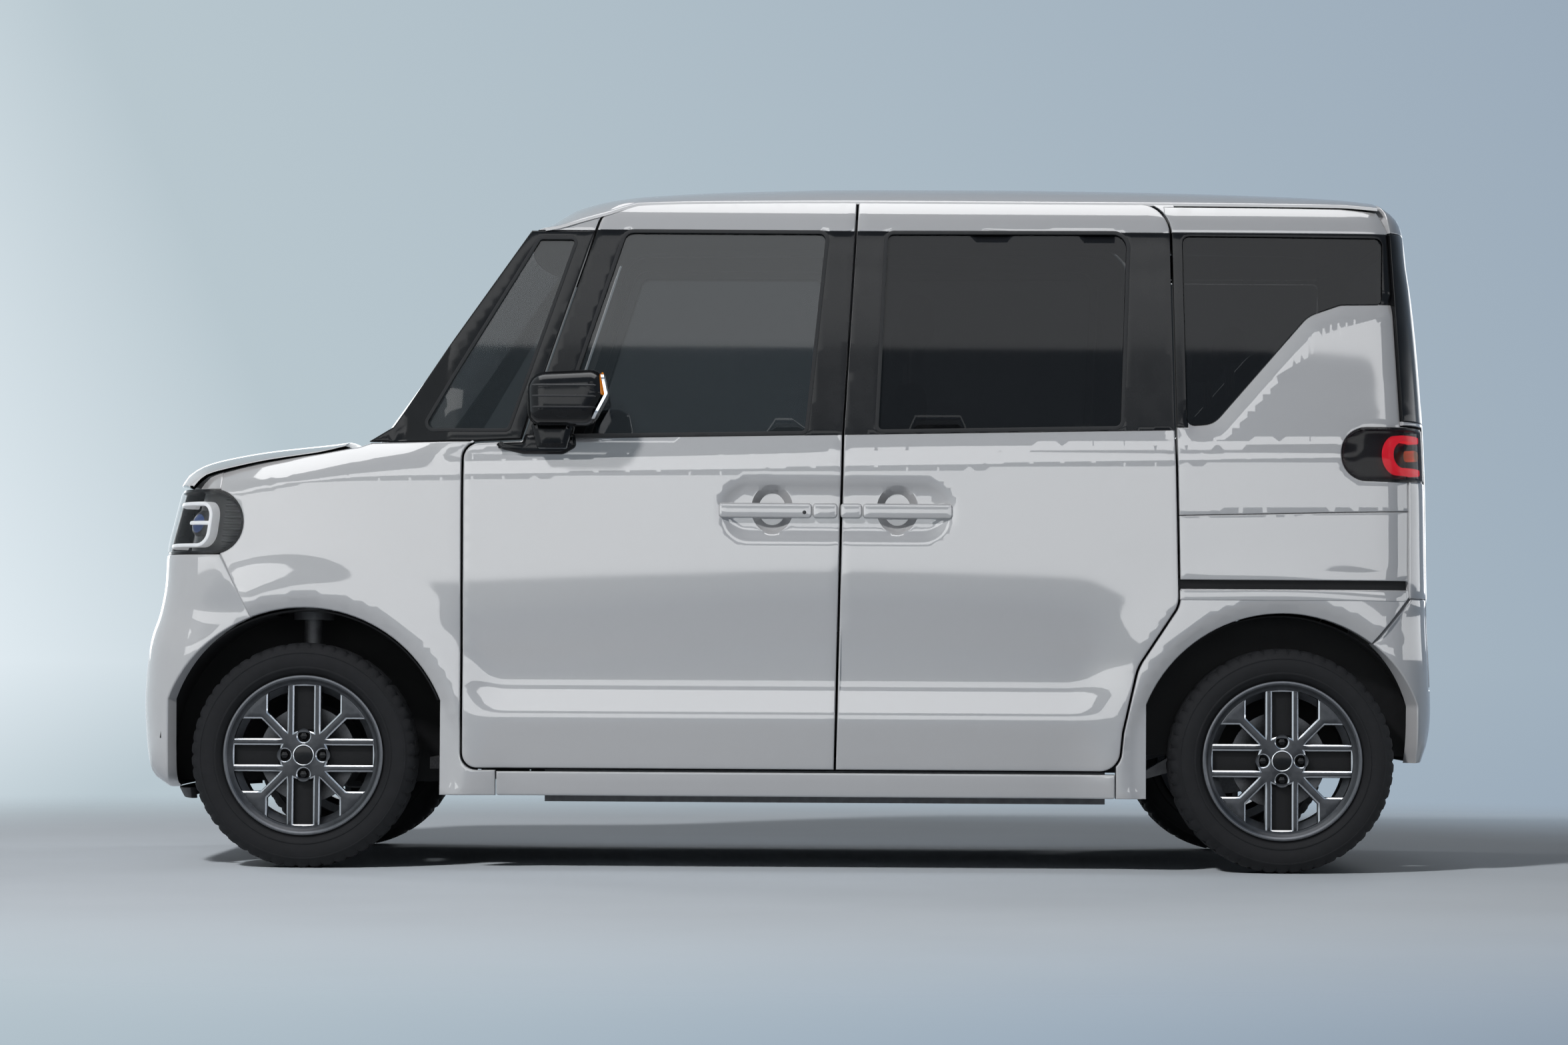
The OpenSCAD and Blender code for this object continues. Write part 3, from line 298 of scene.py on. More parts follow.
def triangulate(loops, extra, lines=()):
    """Triangles over loops, lines and further points, and where each point of the loops went."""
    pts, edges = [], []

    def add(l):
        pts.extend(Vector((float(x), float(y))) for x, y in l)
        return len(pts) - len(l)

    for l in loops:
        n0 = add(l)
        edges += [(n0 + i, n0 + (i + 1) % len(l)) for i in range(len(l))]
    n = len(pts)
    for l in lines:
        n0 = add(l)
        edges += [(n0 + i, n0 + i + 1) for i in range(len(l) - 1) if np.linalg.norm(l[i + 1] - l[i]) < 60]
    add(extra)
    v, _, f, source, _, _ = delaunay_2d_cdt(pts, edges, [], 0, 1e-5)
    v, f = np.array([tuple(p) for p in v]), np.array([t for t in f if len(t) == 3])
    turn = v[f]
    sign = np.cross(turn[:, 1] - turn[:, 0], turn[:, 2] - turn[:, 0])
    f[sign < 0] = f[sign < 0][:, ::-1]
    where = {}
    for k, s in enumerate(source):
        for i in s:
            where[i] = k
    return v, f, [where[i] for i in range(n)]


def region(include, exclude=(), least=600):
    """Outlines of what lies in all of include and in none of exclude; a list of loops counts as one shape."""
    groups = [[list(g) if isinstance(g, (list, tuple)) else [g] for g in k] for k in (include, exclude)]
    v, f, _ = triangulate([l for k in groups for g in k for l in g], [])
    c = v[f].mean(1)
    keep = np.ones(len(f), bool)
    for k, want in zip(groups, (True, False)):
        for g in k:
            keep &= np.any([inside(l, c) for l in g], axis=0) == want
    f = f[keep]
    sides = {(int(t[i]), int(t[(i + 1) % 3])) for t in f for i in range(3)}
    follow = {}
    for a, b in sorted(sides):
        if (b, a) not in sides:
            follow.setdefault(a, []).append(b)
    loops = []
    while follow:
        start = next(iter(follow))
        at, loop = start, []
        while at in follow:
            loop.append(at)
            nxt = follow[at].pop()
            if not follow[at]:
                del follow[at]
            at = nxt
        l = v[loop]
        if abs(area(l)) > least:
            loops.append(l)
    return sorted(loops, key=lambda l: -abs(area(l)))


def rect(x0, z0, x1, z1):
    return np.array([(x0, z0), (x1, z0), (x1, z1), (x0, z1)], float)


def rounded(x0, z0, x1, z1, r, n=9):
    return outline([(x0, z0, r), (x1, z0, r), (x1, z1, r), (x0, z1, r)], n)


def arch(cx, r=ARCH_R, half=ARCH_HALF):
    """Opening of a wheel arch, straight below the arc's ends."""
    a0 = math.acos(half / r)
    a = np.linspace(math.pi - a0, a0, 41)
    return ccw(np.array([(cx - half, -50)] + [(cx + r * math.cos(t), WZ + r * math.sin(t)) for t in a]
                        + [(cx + half, -50)], float))


def circle(cx, cz, r, n=48):
    t = np.arange(n) * 2 * math.pi / n
    return xyz(cx + r * np.cos(t), cz + r * np.sin(t))


DOOR = outline([(118, 258), (-842, 258, 40), (-846, 960), (-846, 1098, 45), (-694, 1105, 8), (-482, 1737, 90),
                (172, 1744), (135, 1119)])
SLIDE = outline([(118, 258), (135, 1119), (172, 1744), (984, 1744, 90), (994, 1144), (1003, 690, 70),
                 (896, 528, 130), (858, 360), (848, 258, 60)])
FRONT_WIN = outline([(-610, 1116, 25), (-432, 1655, 30), (94, 1655, 20), (40, 1128, 15)])
SLIDE_WIN = outline([(221, 1133, 15), (246, 1655, 20), (876, 1658, 40), (856, 1146, 20)])
LIGHT_WIN = outline([(-958, 1130, 20), (-655, 1636, 12), (-556, 1636, 12), (-728, 1130, 15)])
QUARTER_WIN = outline([(1022, 1152, 20), (1092, 1158, 60), (1340, 1442, 80), (1425, 1472, 40),
                       (1533, 1474, 15), (1538, 1648, 20), (1014, 1650, 20)])
LAMP = outline([(-1760, 808), (-1760, 973), (-1410, 973, 82), (-1410, 808, 82)])
TAILLAMP = outline([(1760, 1012), (1760, 1151), (1420, 1151, 66), (1420, 1012, 66)])
FENDER = outline([(-1470, 805), (-1470, 1021), (-1450, 1027), (-1380, 1044), (-1300, 1057), (-1220, 1068),
                  (-1150, 1081), (-1118, 1086), (-1085, 1098), (-820, 1101), (-700, 1101), (-755, 250),
                  (-755, 190), (-900, 190), (-1250, 300), (-1386, 640)])
NOSE_LINE = outline([(-1760, 805), (-1470, 805), (-1386, 640), (-1250, 300), (-1250, 205), (-1760, 205)])
REAR_LINE = outline([(970, 1690), (970, 1729), (1430, 1727), (1524, 1718), (1600, 1580), (1600, 715),
                     (1500, 596), (1270, 300), (916, 190), (840, 190), (840, 700)])
BUMP_LINE = outline([(1760, 709), (1606, 709), (1500, 590), (1270, 300), (1270, 285), (1760, 285)])
PILLAR = outline([(-1092, 1102), (-1030, 1140), (-676, 1655), (-500, 1655), (-690, 1102)])
GATE = outline([(1534, 1745), (1549, 1718), (1557, 1670), (1583, 1158), (1900, 1158), (1900, 1900),
                (1534, 1900)])
RAIL = outline([(900, 731), (1598, 731, 12), (1598, 755, 12), (900, 755)])

# Lines that the skins follow, so that their creases are crisp
T = np.linspace(0, math.pi, 121)
XS = np.arange(-1500, 1600, 16.0)
CREASES = [xyz(c + LIP_R * np.cos(T), WZ + LIP_R * np.sin(T)) for c in (FX, RX)]
CREASES += [xyz(XS, shoulder_z(XS)), xyz(XS, shoulder_z(XS) + SHOULDER_H), xyz(XS, 395)]


# Mesh pieces
class Build:
    """Collects points and faces in millimetres, then makes one object of them."""

    def __init__(self):
        self.v, self.f, self.m = [], [], []

    def add(self, pts, faces, mat):
        n0 = len(self.v)
        self.v += [tuple(p) for p in np.asarray(pts, float)]
        self.f += [tuple(n0 + int(i) for i in f) for f in faces]
        self.m += [mat] * len(faces)
        return n0

    def mirror(self):
        n = len(self.v)
        self.v += [(x, -y, z) for x, y, z in self.v]
        self.f += [tuple(n + i for i in reversed(f)) for f in self.f]
        self.m += self.m
        return self

    def make(self, name, body, replaces=(), slot=None, sharp=32):
        me = bpy.data.meshes.new(name)
        me.from_pydata([(x * MM, y * MM, z * MM) for x, y, z in self.v], [], self.f)
        used = list(dict.fromkeys(self.m))
        for u in used:
            me.materials.append(MATS[u])
        me.polygons.foreach_set("material_index", [used.index(m) for m in self.m])
        me.polygons.foreach_set("use_smooth", [True] * len(self.f))
        me.validate()
        me.set_sharp_from_angle(angle=math.radians(sharp))
        o = bpy.data.objects.new(name, me)
        scene.collection.objects.link(o)
        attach(o, body)
        if replaces:
            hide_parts(*replaces)

    def twins(self, name, replaces, slot):
        """A right and a left piece, each on its own front door."""
        for side in ("right", "left"):
            self.make(name % side, "door_" + side, [r % side for r in replaces], slot)
            self.v = [(x, -y, z) for x, y, z in self.v]
            self.f = [tuple(reversed(f)) for f in self.f]


def depth(d, p):
    """Depth of a row, given as a number or as a function of place."""
    return d(p[:, 0], p[:, 1]) if callable(d) else d


def panel(b, loops, lift, rows, mat, step=20, back=None, lines=()):
    """Closed sheet on a surface: front face, rows of (outward offset, depth) round its edges, back face.
    The front face has points along the given lines, so that a crease there is crisp."""
    loops = [dense(l, step * 0.8) for l in loops]
    nor = [normals(l) for l in loops]

    def ring(o):
        return [l + n * o for l, n in zip(loops, nor)]

    def face(o, d, rev, m):
        rim = ring(o)
        lo, hi = np.min([l.min(0) for l in rim], 0), np.max([l.max(0) for l in rim], 0)
        gx, gy = np.meshgrid(np.arange(lo[0] // step * step, hi[0] + step, step),
                             np.arange(lo[1] // step * step, hi[1] + step, step * 0.75))
        g = xyz(gx.ravel(), gy.ravel())
        g = g[within(rim, g)]
        g = g[far(rim, g, step * 0.45)] if len(g) else g
        follow = []
        for l in lines if rev is None else ():
            l = l[within(rim, l) & far(rim, l, 3)]
            if len(l) > 1:
                follow.append(l)
                g = g[np.min(np.linalg.norm(g[:, None] - l, axis=-1), axis=1) > step * 0.4]
        v, f, first = triangulate(rim, g, follow)
        f = f[within(rim, v[f].mean(1))]
        p = lift(v[:, 0], v[:, 1], depth(d, v))
        if rev is None:
            t = p[f]
            nrm = np.cross(t[:, 1] - t[:, 0], t[:, 2] - t[:, 0])
            q = v[f].mean(1)
            inward = lift(q[:, 0], q[:, 1], 5.0) - lift(q[:, 0], q[:, 1], 0.0)
            rev = float(np.sum(nrm * inward)) > 0
        n0 = b.add(p, f[:, ::-1] if rev else f, m)
        ends = np.cumsum([len(l) for l in loops])[:-1]
        return rev, [k.tolist() for k in np.split(n0 + np.array(first), ends)]

    flip, last = face(rows[0][0], rows[0][1], None, mat)
    for k, row in enumerate(rows[1:]):
        o, d = row[0], row[1]
        m = row[2] if len(row) > 2 else mat
        end = k == len(rows) - 2
        if end:
            _, now = face(o, d, not flip, back or mat)
        else:
            now = []
            for l in ring(o):
                n0 = b.add(lift(l[:, 0], l[:, 1], depth(d, l)), [], m)
                now.append(list(range(n0, n0 + len(l))))
        quads = []
        for p, q in zip(last, now):
            for i in range(len(p)):
                j = (i + 1) % len(p)
                quads.append((p[i], q[i], q[j], p[j]) if not flip else (p[i], p[j], q[j], q[i]))
        b.f += quads
        b.m += [m] * len(quads)
        last = now


def rolled(r, deep, tuck=2.0, h=0.0):
    """Rows of an edge rounded by r that reaches deep below the surface, its face h above it."""
    out = [(-r, -h)]
    out += [(-r + r * math.sin(t), -h + r * (1 - math.cos(t))) for t in np.radians([22, 45, 68, 90])]
    return out + [(0.0, deep), (-tuck, deep)]


def proud(h, r, deep):
    """Rows of a plate that stands h above the surface."""
    return rolled(r, deep, 0.5, h)


def tube(b, p, r, mat, n):
    """Round bar along points, with flat ends."""
    p = np.asarray(p, float)
    m = len(p)
    t = np.gradient(p, axis=0)
    t /= np.linalg.norm(t, axis=1)[:, None]
    r = np.broadcast_to(np.asarray(r, float), (m,))
    s = np.cross(t[0], (0, 0, 1.0) if abs(t[0][2]) < 0.9 else (1.0, 0, 0))
    pts = []
    for i in range(m):
        s = s - t[i] * (s @ t[i])
        s /= np.linalg.norm(s)
        w = np.cross(t[i], s)
        pts += [p[i] + r[i] * (math.cos(a) * s + math.sin(a) * w) for a in np.arange(n) * 2 * math.pi / n]
    faces = [(i + k, i + (k + 1) % n, i + n + (k + 1) % n, i + n + k)
             for i in range(0, (m - 1) * n, n) for k in range(n)]
    faces += [tuple(range(n))[::-1], tuple((m - 1) * n + k for k in range(n))]
    b.add(pts, faces, mat)


def lathe(b, prof, centre, mat, n, sign, wobble=None):
    """Ring of a closed profile (radius, outward distance) about a wheel axle."""
    prof = np.asarray(prof, float)
    m = len(prof)
    a = np.arange(n)[:, None] * 2 * math.pi / n
    r, w = prof.T[:, None] + np.zeros((n, 1))
    if wobble is not None:
        r = r + wobble(np.arange(n)[:, None], np.arange(m))
    pts = xyz(centre[0] + r * np.cos(a), centre[1] + sign * w, centre[2] + r * np.sin(a))
    faces = [(i * m + k, (i + 1) % n * m + k, (i + 1) % n * m + (k + 1) % m, i * m + (k + 1) % m)
             for i in range(n) for k in range(m)]
    b.add(pts.reshape(-1, 3), [f[::-1] for f in faces] if area(prof) * sign > 0 else faces, mat)


def plane_xz(y):
    """Flat surface at y that faces right."""
    return lambda u, v, d: xyz(u, y - d, v)


def block(b, lo, hi, mat, r):
    """Block with rounded edges."""
    t = hi[1] - lo[1]
    k = min(r, t / 2.2)
    rows = [(-k, 0.0), (-k * 0.3, k * 0.3), (0, k), (0, t - k), (-k * 0.3, t - k * 0.3), (-k, t)]
    panel(b, [rounded(lo[0], lo[2], hi[0], hi[2], r, 3)], plane_xz(hi[1]), rows, mat,
          step=max(12, max(hi[0] - lo[0], hi[2] - lo[2]) / 6))


# Materials
MATS = {}


def node(t, kind, **values):
    """New shader node, its inputs set by name with _ for a space."""
    n = t.nodes.new("ShaderNode" + kind)
    for k, v in values.items():
        n.inputs[k.replace("_", " ")].default_value = v
    return n


def material(name, color, rough=0.5, metal=0.0, coat=0.0, alpha=1.0, spec=0.5, vary=0.06, scale=40.0,
             bump=0.0, bump_scale=400.0, emit=0.0, sheen=0.0, stretch=(1, 1, 1), weave=0.0,
             rough_vary=0.06, flake=0.0, coat_ior=1.5):
    """Colour and roughness vary with noise; height comes from a weave, paint flakes or fine grain."""
    m = bpy.data.materials.new(name)
    m.use_nodes = True
    t = m.node_tree
    join = t.links.new
    s = t.nodes["Principled BSDF"]
    for k, v in (("Metallic", metal), ("Coat Weight", coat), ("Coat Roughness", 0.04), ("Coat IOR", coat_ior),
                 ("Specular IOR Level", spec), ("Alpha", alpha), ("Sheen Weight", sheen)):
        s.inputs[k].default_value = v
    at = node(t, "TexCoord").outputs["Object"]
    laid = node(t, "Mapping", Scale=stretch)
    join(at, laid.inputs["Vector"])

    def noise(size, detail):
        n = node(t, "TexNoise", Scale=size, Detail=detail)
        join(laid.outputs[0], n.inputs["Vector"])
        return n.outputs["Fac"]

    tone = noise(scale, 4)
    ramp = node(t, "ValToRGB")
    for e, k, p in zip(ramp.color_ramp.elements, (1 - vary, 1 + vary), (0.3, 0.7)):
        e.color = [min(1, c * k) for c in color] + [1]
        e.position = p
    join(tone, ramp.inputs["Fac"])
    join(ramp.outputs["Color"], s.inputs["Base Color"])
    gloss = node(t, "MapRange", To_Min=max(0.01, rough - rough_vary), To_Max=min(1, rough + rough_vary))
    join(tone, gloss.inputs["Value"])
    join(gloss.outputs["Result"], s.inputs["Roughness"])
    if emit:
        join(ramp.outputs["Color"], s.inputs["Emission Color"])
        s.inputs["Emission Strength"].default_value = emit
    height = None
    if weave:
        cross = node(t, "Math")
        cross.operation = "MULTIPLY"
        for i, axis in enumerate(("X", "Z")):
            w = node(t, "TexWave", Scale=weave, Distortion=0.6)
            w.bands_direction = axis
            join(at, w.inputs["Vector"])
            join(w.outputs["Fac"], cross.inputs[i])
        height = cross.outputs[0]
    elif flake:
        cells = node(t, "TexVoronoi", Scale=2600)
        join(at, cells.inputs["Vector"])
        height = cells.outputs["Distance"]
    elif bump:
        height = noise(bump_scale, 3)
    if height is not None:
        raised = node(t, "Bump", Strength=flake or bump, Distance=0.001)
        join(height, raised.inputs["Height"])
        join(raised.outputs[0], s.inputs["Normal"])
    MATS[name] = m
    return m


material("paint", (0.55, 0.547, 0.556), 0.42, 0.0, 1.0, vary=0.02, scale=1500, flake=0.02,
         rough_vary=0.03, spec=0.3, coat_ior=2.0)
material("gloss_black", (0.007, 0.007, 0.008), 0.16, coat=0.1, spec=0.22, vary=0.2, scale=20, bump=0.01)
material("trim", (0.022, 0.022, 0.024), 0.55, vary=0.18, scale=90, bump=0.25, bump_scale=1400)
material("rubber", (0.014, 0.014, 0.015), 0.7, vary=0.2, scale=60, bump=0.15, bump_scale=900)
material("tyre", (0.013, 0.013, 0.0145), 0.78, vary=0.22, scale=30, bump=0.2, bump_scale=700, spec=0.35)
material("dark", (0.012, 0.012, 0.013), 0.85, vary=0.25, scale=25, bump=0.2, bump_scale=300)
material("glass_front", (0.010, 0.014, 0.016), 0.03, alpha=0.60, spec=0.6, vary=0.1, scale=4, rough_vary=0.01)
material("glass_rear", (0.012, 0.013, 0.015), 0.03, alpha=0.80, spec=0.22, vary=0.1, scale=4, rough_vary=0.01)
material("plate", (0.80, 0.80, 0.80), 0.4, vary=0.03, scale=60, bump=0.05, bump_scale=300)
material("lens", (0.03, 0.035, 0.04), 0.03, alpha=0.14, spec=1.0, vary=0.03, scale=8, rough_vary=0.01)
material("lens_dark", (0.012, 0.008, 0.009), 0.04, alpha=0.42, spec=0.3, vary=0.08, scale=30, rough_vary=0.01)
material("lens_red", (0.50, 0.010, 0.014), 0.05, alpha=0.55, spec=0.9, vary=0.08, scale=30, rough_vary=0.01)
material("lamp_body", (0.014, 0.015, 0.017), 0.3, 0.2, vary=0.2, scale=60, bump=0.08, bump_scale=900)
material("reflector", (0.75, 0.76, 0.78), 0.12, 1.0, vary=0.06, scale=60, rough_vary=0.04)
material("guide_white", (0.88, 0.90, 0.93), 0.25, vary=0.04, scale=60, emit=0.35)
material("guide_red", (0.95, 0.016, 0.036), 0.25, vary=0.08, scale=60, emit=1.3)
material("amber", (0.80, 0.26, 0.02), 0.2, vary=0.1, scale=60, emit=0.25)
material("blue_lens", (0.05, 0.10, 0.30), 0.06, coat=0.8, vary=0.15, scale=80)
material("alloy_dark", (0.060, 0.062, 0.067), 0.38, 0.75, vary=0.12, scale=80, bump=0.05, bump_scale=1200)
material("alloy_bright", (0.62, 0.63, 0.65), 0.22, 1.0, vary=0.08, scale=200, stretch=(1, 8, 1),
         rough_vary=0.08)
material("alloy_lip", (0.13, 0.132, 0.14), 0.34, 1.0, vary=0.08, scale=90, rough_vary=0.06)
material("disc", (0.13, 0.13, 0.135), 0.4, 0.9, vary=0.15, scale=160, bump=0.06, bump_scale=500,
         rough_vary=0.1)
material("steel", (0.42, 0.42, 0.43), 0.32, 1.0, vary=0.12, scale=120, bump=0.06, bump_scale=600,
         rough_vary=0.1)
material("cast", (0.16, 0.16, 0.165), 0.6, 0.6, vary=0.18, scale=40, bump=0.2, bump_scale=350)
material("underbody", (0.035, 0.035, 0.037), 0.8, vary=0.25, scale=18, bump=0.25, bump_scale=260)
material("cabin", (0.030, 0.030, 0.033), 0.6, vary=0.15, scale=60, bump=0.3, bump_scale=1100)
material("cabin_pale", (0.36, 0.35, 0.34), 0.7, vary=0.08, scale=60, bump=0.25, bump_scale=900)
material("seat_cloth", (0.075, 0.075, 0.082), 0.9, vary=0.2, scale=120, sheen=0.35, weave=260, bump=0.35)
material("carpet", (0.028, 0.028, 0.030), 0.95, vary=0.4, scale=220, bump=0.6, bump_scale=500, sheen=0.2)

# Carried-over solids take a finish of their own
FINISH = {
    "floor_pan": "carpet", "front_frame": "underbody", "dashboard": "cabin", "battery_pack": "cast",
    "drive_unit": "cast", "front_subframe": "underbody", "rear_axle": "cast", "wipers": "trim",
    "knuckle_left": "cast", "knuckle_right": "cast", "steering_wheel": "cabin",
}
for name, o in NODES.items():
    o.data.materials.clear()
    o.data.materials.append(MATS[FINISH.get(name, "paint")])


# Body side
def pocket(x, z):
    """Depth of the door handles' recess and of the two finger pockets in it."""
    beyond = np.maximum(0, np.maximum(HANDLE_X[0] - x, x - HANDLE_X[1]))
    d = 15 * ease((81 - np.hypot(beyond, z - HANDLE_Z)) / 30)
    for cx in FINGERS:
        d = d + 20 * ease((1.0 - np.hypot((x - cx) / FINGER_A, (z - FINGER_Z) / FINGER_B)) / 0.35)
    return d


def belt_z(x):
    """Height of the black band's lower edge."""
    return 1120.0 + 0.02 * np.asarray(x, float)


def door_at(x, z, d=0.0):
    """Door skin with its handle recess, let in by 2.6 mm where the black cover lies."""
    let_in = 2.6 * np.clip((z - belt_z(x)) / 1.5, 0, 1) * np.clip((TOP_Z - z) / 1.5, 0, 1)
    return side_at(x, z, d + (pocket(x, z) + let_in) * (np.asarray(d) < 12))


TURN = np.linspace(0, 2 * math.pi, 72)
DISH = [dense(rounded(HANDLE_X[0] - r, HANDLE_Z - r, HANDLE_X[1] + r, HANDLE_Z + r, r, 16), 12)
        for r in (52, 66, 81)]
DISH += [xyz(cx + FINGER_A * k * np.cos(TURN), FINGER_Z + FINGER_B * k * np.sin(TURN))
         for cx in FINGERS for k in (0.65, 0.82, 1.0)]
DISH += [xyz(XS, belt_z(XS) + k) for k in (0.0, 1.5)]
DISH += [xyz(XS, TOP_Z - k) for k in (0.0, 1.5)]
BLACK = np.array([(-2000, belt_z(-2000) + 0.8), (2000, belt_z(2000) + 0.8),
                  (2000, TOP_Z - 0.8), (-2000, TOP_Z - 0.8)])
BROW = outline([(-1470.4, 974.5), (-1470.4, 1021), (-1509, 1009), (-1533, 991), (-1547, 978), (-1549, 974.5)])
b = Build()
panel(b, region([FENDER], [grow(DOOR, GAP / 2), arch(FX), grow(LAMP, 0.3)]), side_at, rolled(4, 26), "paint",
      back="dark", lines=CREASES)


def brow_at(u, z, d=0.0):
    """Fender's tip above the lamp, on the nose and rolled in like the fender."""
    p = NOSE.at(u, z, d)
    p[..., 1] -= roll(p[..., 0], z) + 4.8 * np.clip((p[..., 0] + 1549) / 79, 0, 1)
    return p


panel(b, [NOSE.flat(BROW, 6)], brow_at, rolled(2, 24), "paint", step=12)
b.mirror().make("fenders_skin", "body", ["fenders"], "paint")

WALLED = [(-4, 0.0), (-2.5, 0.4), (-1.2, 1.4), (-0.3, 2.6), (0, 4), (0, 20), (-16, 22), (-18, 26),
          (-18, lambda x, z: WALL(z) - 4), (-22, lambda x, z: WALL(z))]
b = Build()
panel(b, region([grow(DOOR, -GAP / 2)], [FRONT_WIN]), door_at, WALLED, "paint", back="cabin",
      lines=CREASES + DISH)
b.twins("front_door_%s_skin", ["front_door_%s"], "paint")

b = Build()
panel(b, region([grow(SLIDE, -GAP / 2)], [SLIDE_WIN]), door_at, WALLED, "paint", back="cabin",
      lines=CREASES + DISH)
b.mirror().make("sliding_doors_skin", "body", ["sliding_doors"], "paint")

SHELF = QUARTER_WIN[(QUARTER_WIN[:, 1] < 1480) & (QUARTER_WIN[:, 0] > 1018)]
SHELF = np.concatenate([SHELF[np.argsort(SHELF[:, 0])], [(1640, 1474)]])


def rear_at(x, z, d=0.0):
    """Rear quarter, its panel standing proud and chamfered round the quarter window."""
    away = distance(xyz(x, z).reshape(-1, 2), SHELF[:-1], np.diff(SHELF, axis=0)).reshape(np.shape(x))
    step = 11 * np.clip(1 - away / 36, 0, 1) * (np.asarray(z) < 1490)
    step = step * np.clip((np.asarray(x) - 1005) / 40, 0, 1)
    return side_at(x, z, d + step * (np.asarray(d) < 12))


RIM_BAND = grow(QUARTER_WIN, 36)
RIM_BAND = RIM_BAND[(RIM_BAND[:, 1] < 1470) & (RIM_BAND[:, 0] > 1000)]
RIM_BAND = dense(RIM_BAND[np.argsort(RIM_BAND[:, 0])], 12)
RIM_BAND = RIM_BAND[np.argsort(RIM_BAND[:, 0])]
LID = outline([(900, 917.5), (1001, 920), (1536, 933), (1700, 937), (1700, 1900), (900, 1900)])
DARK = [rect(970, 1148, 1026, TOP_Z), rect(1000, 1640, 1640, TOP_Z), rect(1528, 1474, 1640, TOP_Z)]
CUTS = [grow(SLIDE, GAP / 2), arch(RX), grow(TAILLAMP, 0.3), grow(GATE, GAP), QUARTER_WIN, RAIL]
b = Build()
painted = region([REAR_LINE, grow(LID, -0.8)], CUTS + [DARK])
painted += region([REAR_LINE], CUTS + [grow(LID, 0.8)])
for l in painted:
    panel(b, [l], rear_at, rolled(2.5, 40), "paint", back="cabin", lines=CREASES + [RIM_BAND])
for l in region([REAR_LINE, [grow(k, -0.4) for k in DARK]], CUTS, 300):
    panel(b, [l], rear_at, [(-1, 0), (-0.3, 0.3), (0, 1), (0, 38), (-1, 38)], "gloss_black", step=16)
panel(b, [rect(1000, 727, 1600, 759)], side_at, [(0, 14), (0, 18)], "dark")
panel(b, [rounded(1003, 702, 1590, 729, 3)], side_at, [(-5, -2.5), (-1.5, -2.0), (0, 0.5), (0, 10), (-1, 10)],
      "paint", step=14)
b.mirror().make("rear_sides_skin", "body", ["rear_sides"], "paint")

b = Build()
panel(b, [outline([(-752, 190, 6), (837, 190, 6), (837, 252), (-752, 252)])], side_at, rolled(5, 40), "paint",
      back="dark")
b.mirror().make("sill_covers", "body", ["sills"], "paint")

# Windscreen pillars
b = Build()
panel(b, region([PILLAR], [grow(DOOR, GAP / 2), LIGHT_WIN, grow(FENDER, 0.4)]), side_at, rolled(4, 40),
      "gloss_black")
for z0, z1 in ((290, 1100), (1100, 1690)):
    z = np.linspace(z0, z1, 9)
    loop = ccw(np.concatenate([xyz(base_y(z) - WALL(z) - 1, z), xyz(base_y(z) - WALL(z) - 48, z)[::-1]]))
    panel(b, [loop], lambda u, v, d: xyz(146 + d, u, v), [(-4, 0), (0, 4), (0, 64), (-4, 68)], "cabin",
          step=40)
b.mirror().make("pillar_covers", "body", ["pillars"], "black_trim")


# Nose
def both_u(l):
    """A loop on the right of the nose or tail, and its twin on the left."""
    l = ccw(l[np.linalg.norm(l - np.roll(l, 1, axis=0), axis=1) > 0.05])
    return [l, ccw(l * np.array([-1, 1]))]


def plate(b, wrap, z, h):
    """Blank number plate, 330 by 165 mm."""
    panel(b, [rounded(-165, z, 165, z + 165, 10)], wrap.at, proud(h, 2.5, 2), "plate", step=30)


def lamp_shell(b, loop, wrap, lens, thick, sink, deep, floor):
    """A lamp's lens, the black bezel round it and the body behind."""
    panel(b, [loop], wrap.at, [(-5, 0.0), (-2.6, 0.8), (-0.8, 2.6), (0, 5), (0, thick), (-5, thick)], lens)
    panel(b, region([grow(loop, 1.5)], [grow(loop, -6)]), wrap.at,
          [(-1, sink), (0, sink + 1), (0, deep), (-1, deep)], "gloss_black", step=12)
    panel(b, [grow(loop, -1)], wrap.at, [(0, floor), (0, floor + 20)], "lamp_body")


b = Build()
mouth = outline([(-430, 300, 22), (430, 300, 22), (430, 400, 40), (-430, 400, 40)])
loops = region([both_u(NOSE.flat(NOSE_LINE))], [both_u(NOSE.flat(arch(FX), 8)), mouth])
panel(b, loops, NOSE.at, rolled(4, 28), "paint", back="dark")
panel(b, [grow(mouth, 12)], NOSE.at, [(0, 30), (0, 34)], "dark")
for z in (322, 346, 370):
    panel(b, [rounded(-436, z, 436, z + 11, 5)], NOSE.at, [(-3, 14), (0, 17), (0, 26), (-3, 29)], "trim")
plate(b, NOSE, 470, 9)
panel(b, [rounded(-182, 452, 182, 652, 14)], NOSE.at, proud(4, 3, 2), "trim", step=30)
lip = NOSE.flat(rect(-1760, 176, -1560, 203))
panel(b, region([both_u(lip)], [], 100), lambda u, z, d=0.0: NOSE.at(u, z, d + 22),
      [(-4, 0), (-1, 1), (0, 4), (0, 16), (-2, 18)], "trim", step=24)
b.make("front_bumper_skin", "body", ["front_bumper"], "paint")

# Where the lamps end beside the front panel
lamp_0 = float(NOSE.of_y(425.0, 880.0))
b = Build()
panel(b, [rect(-lamp_0 + 1, 806, lamp_0 - 1, 977)], NOSE.at, rolled(4, 28), "gloss_black")
b.make("front_panel_skin", "body", ["front_panel"], "black_trim")

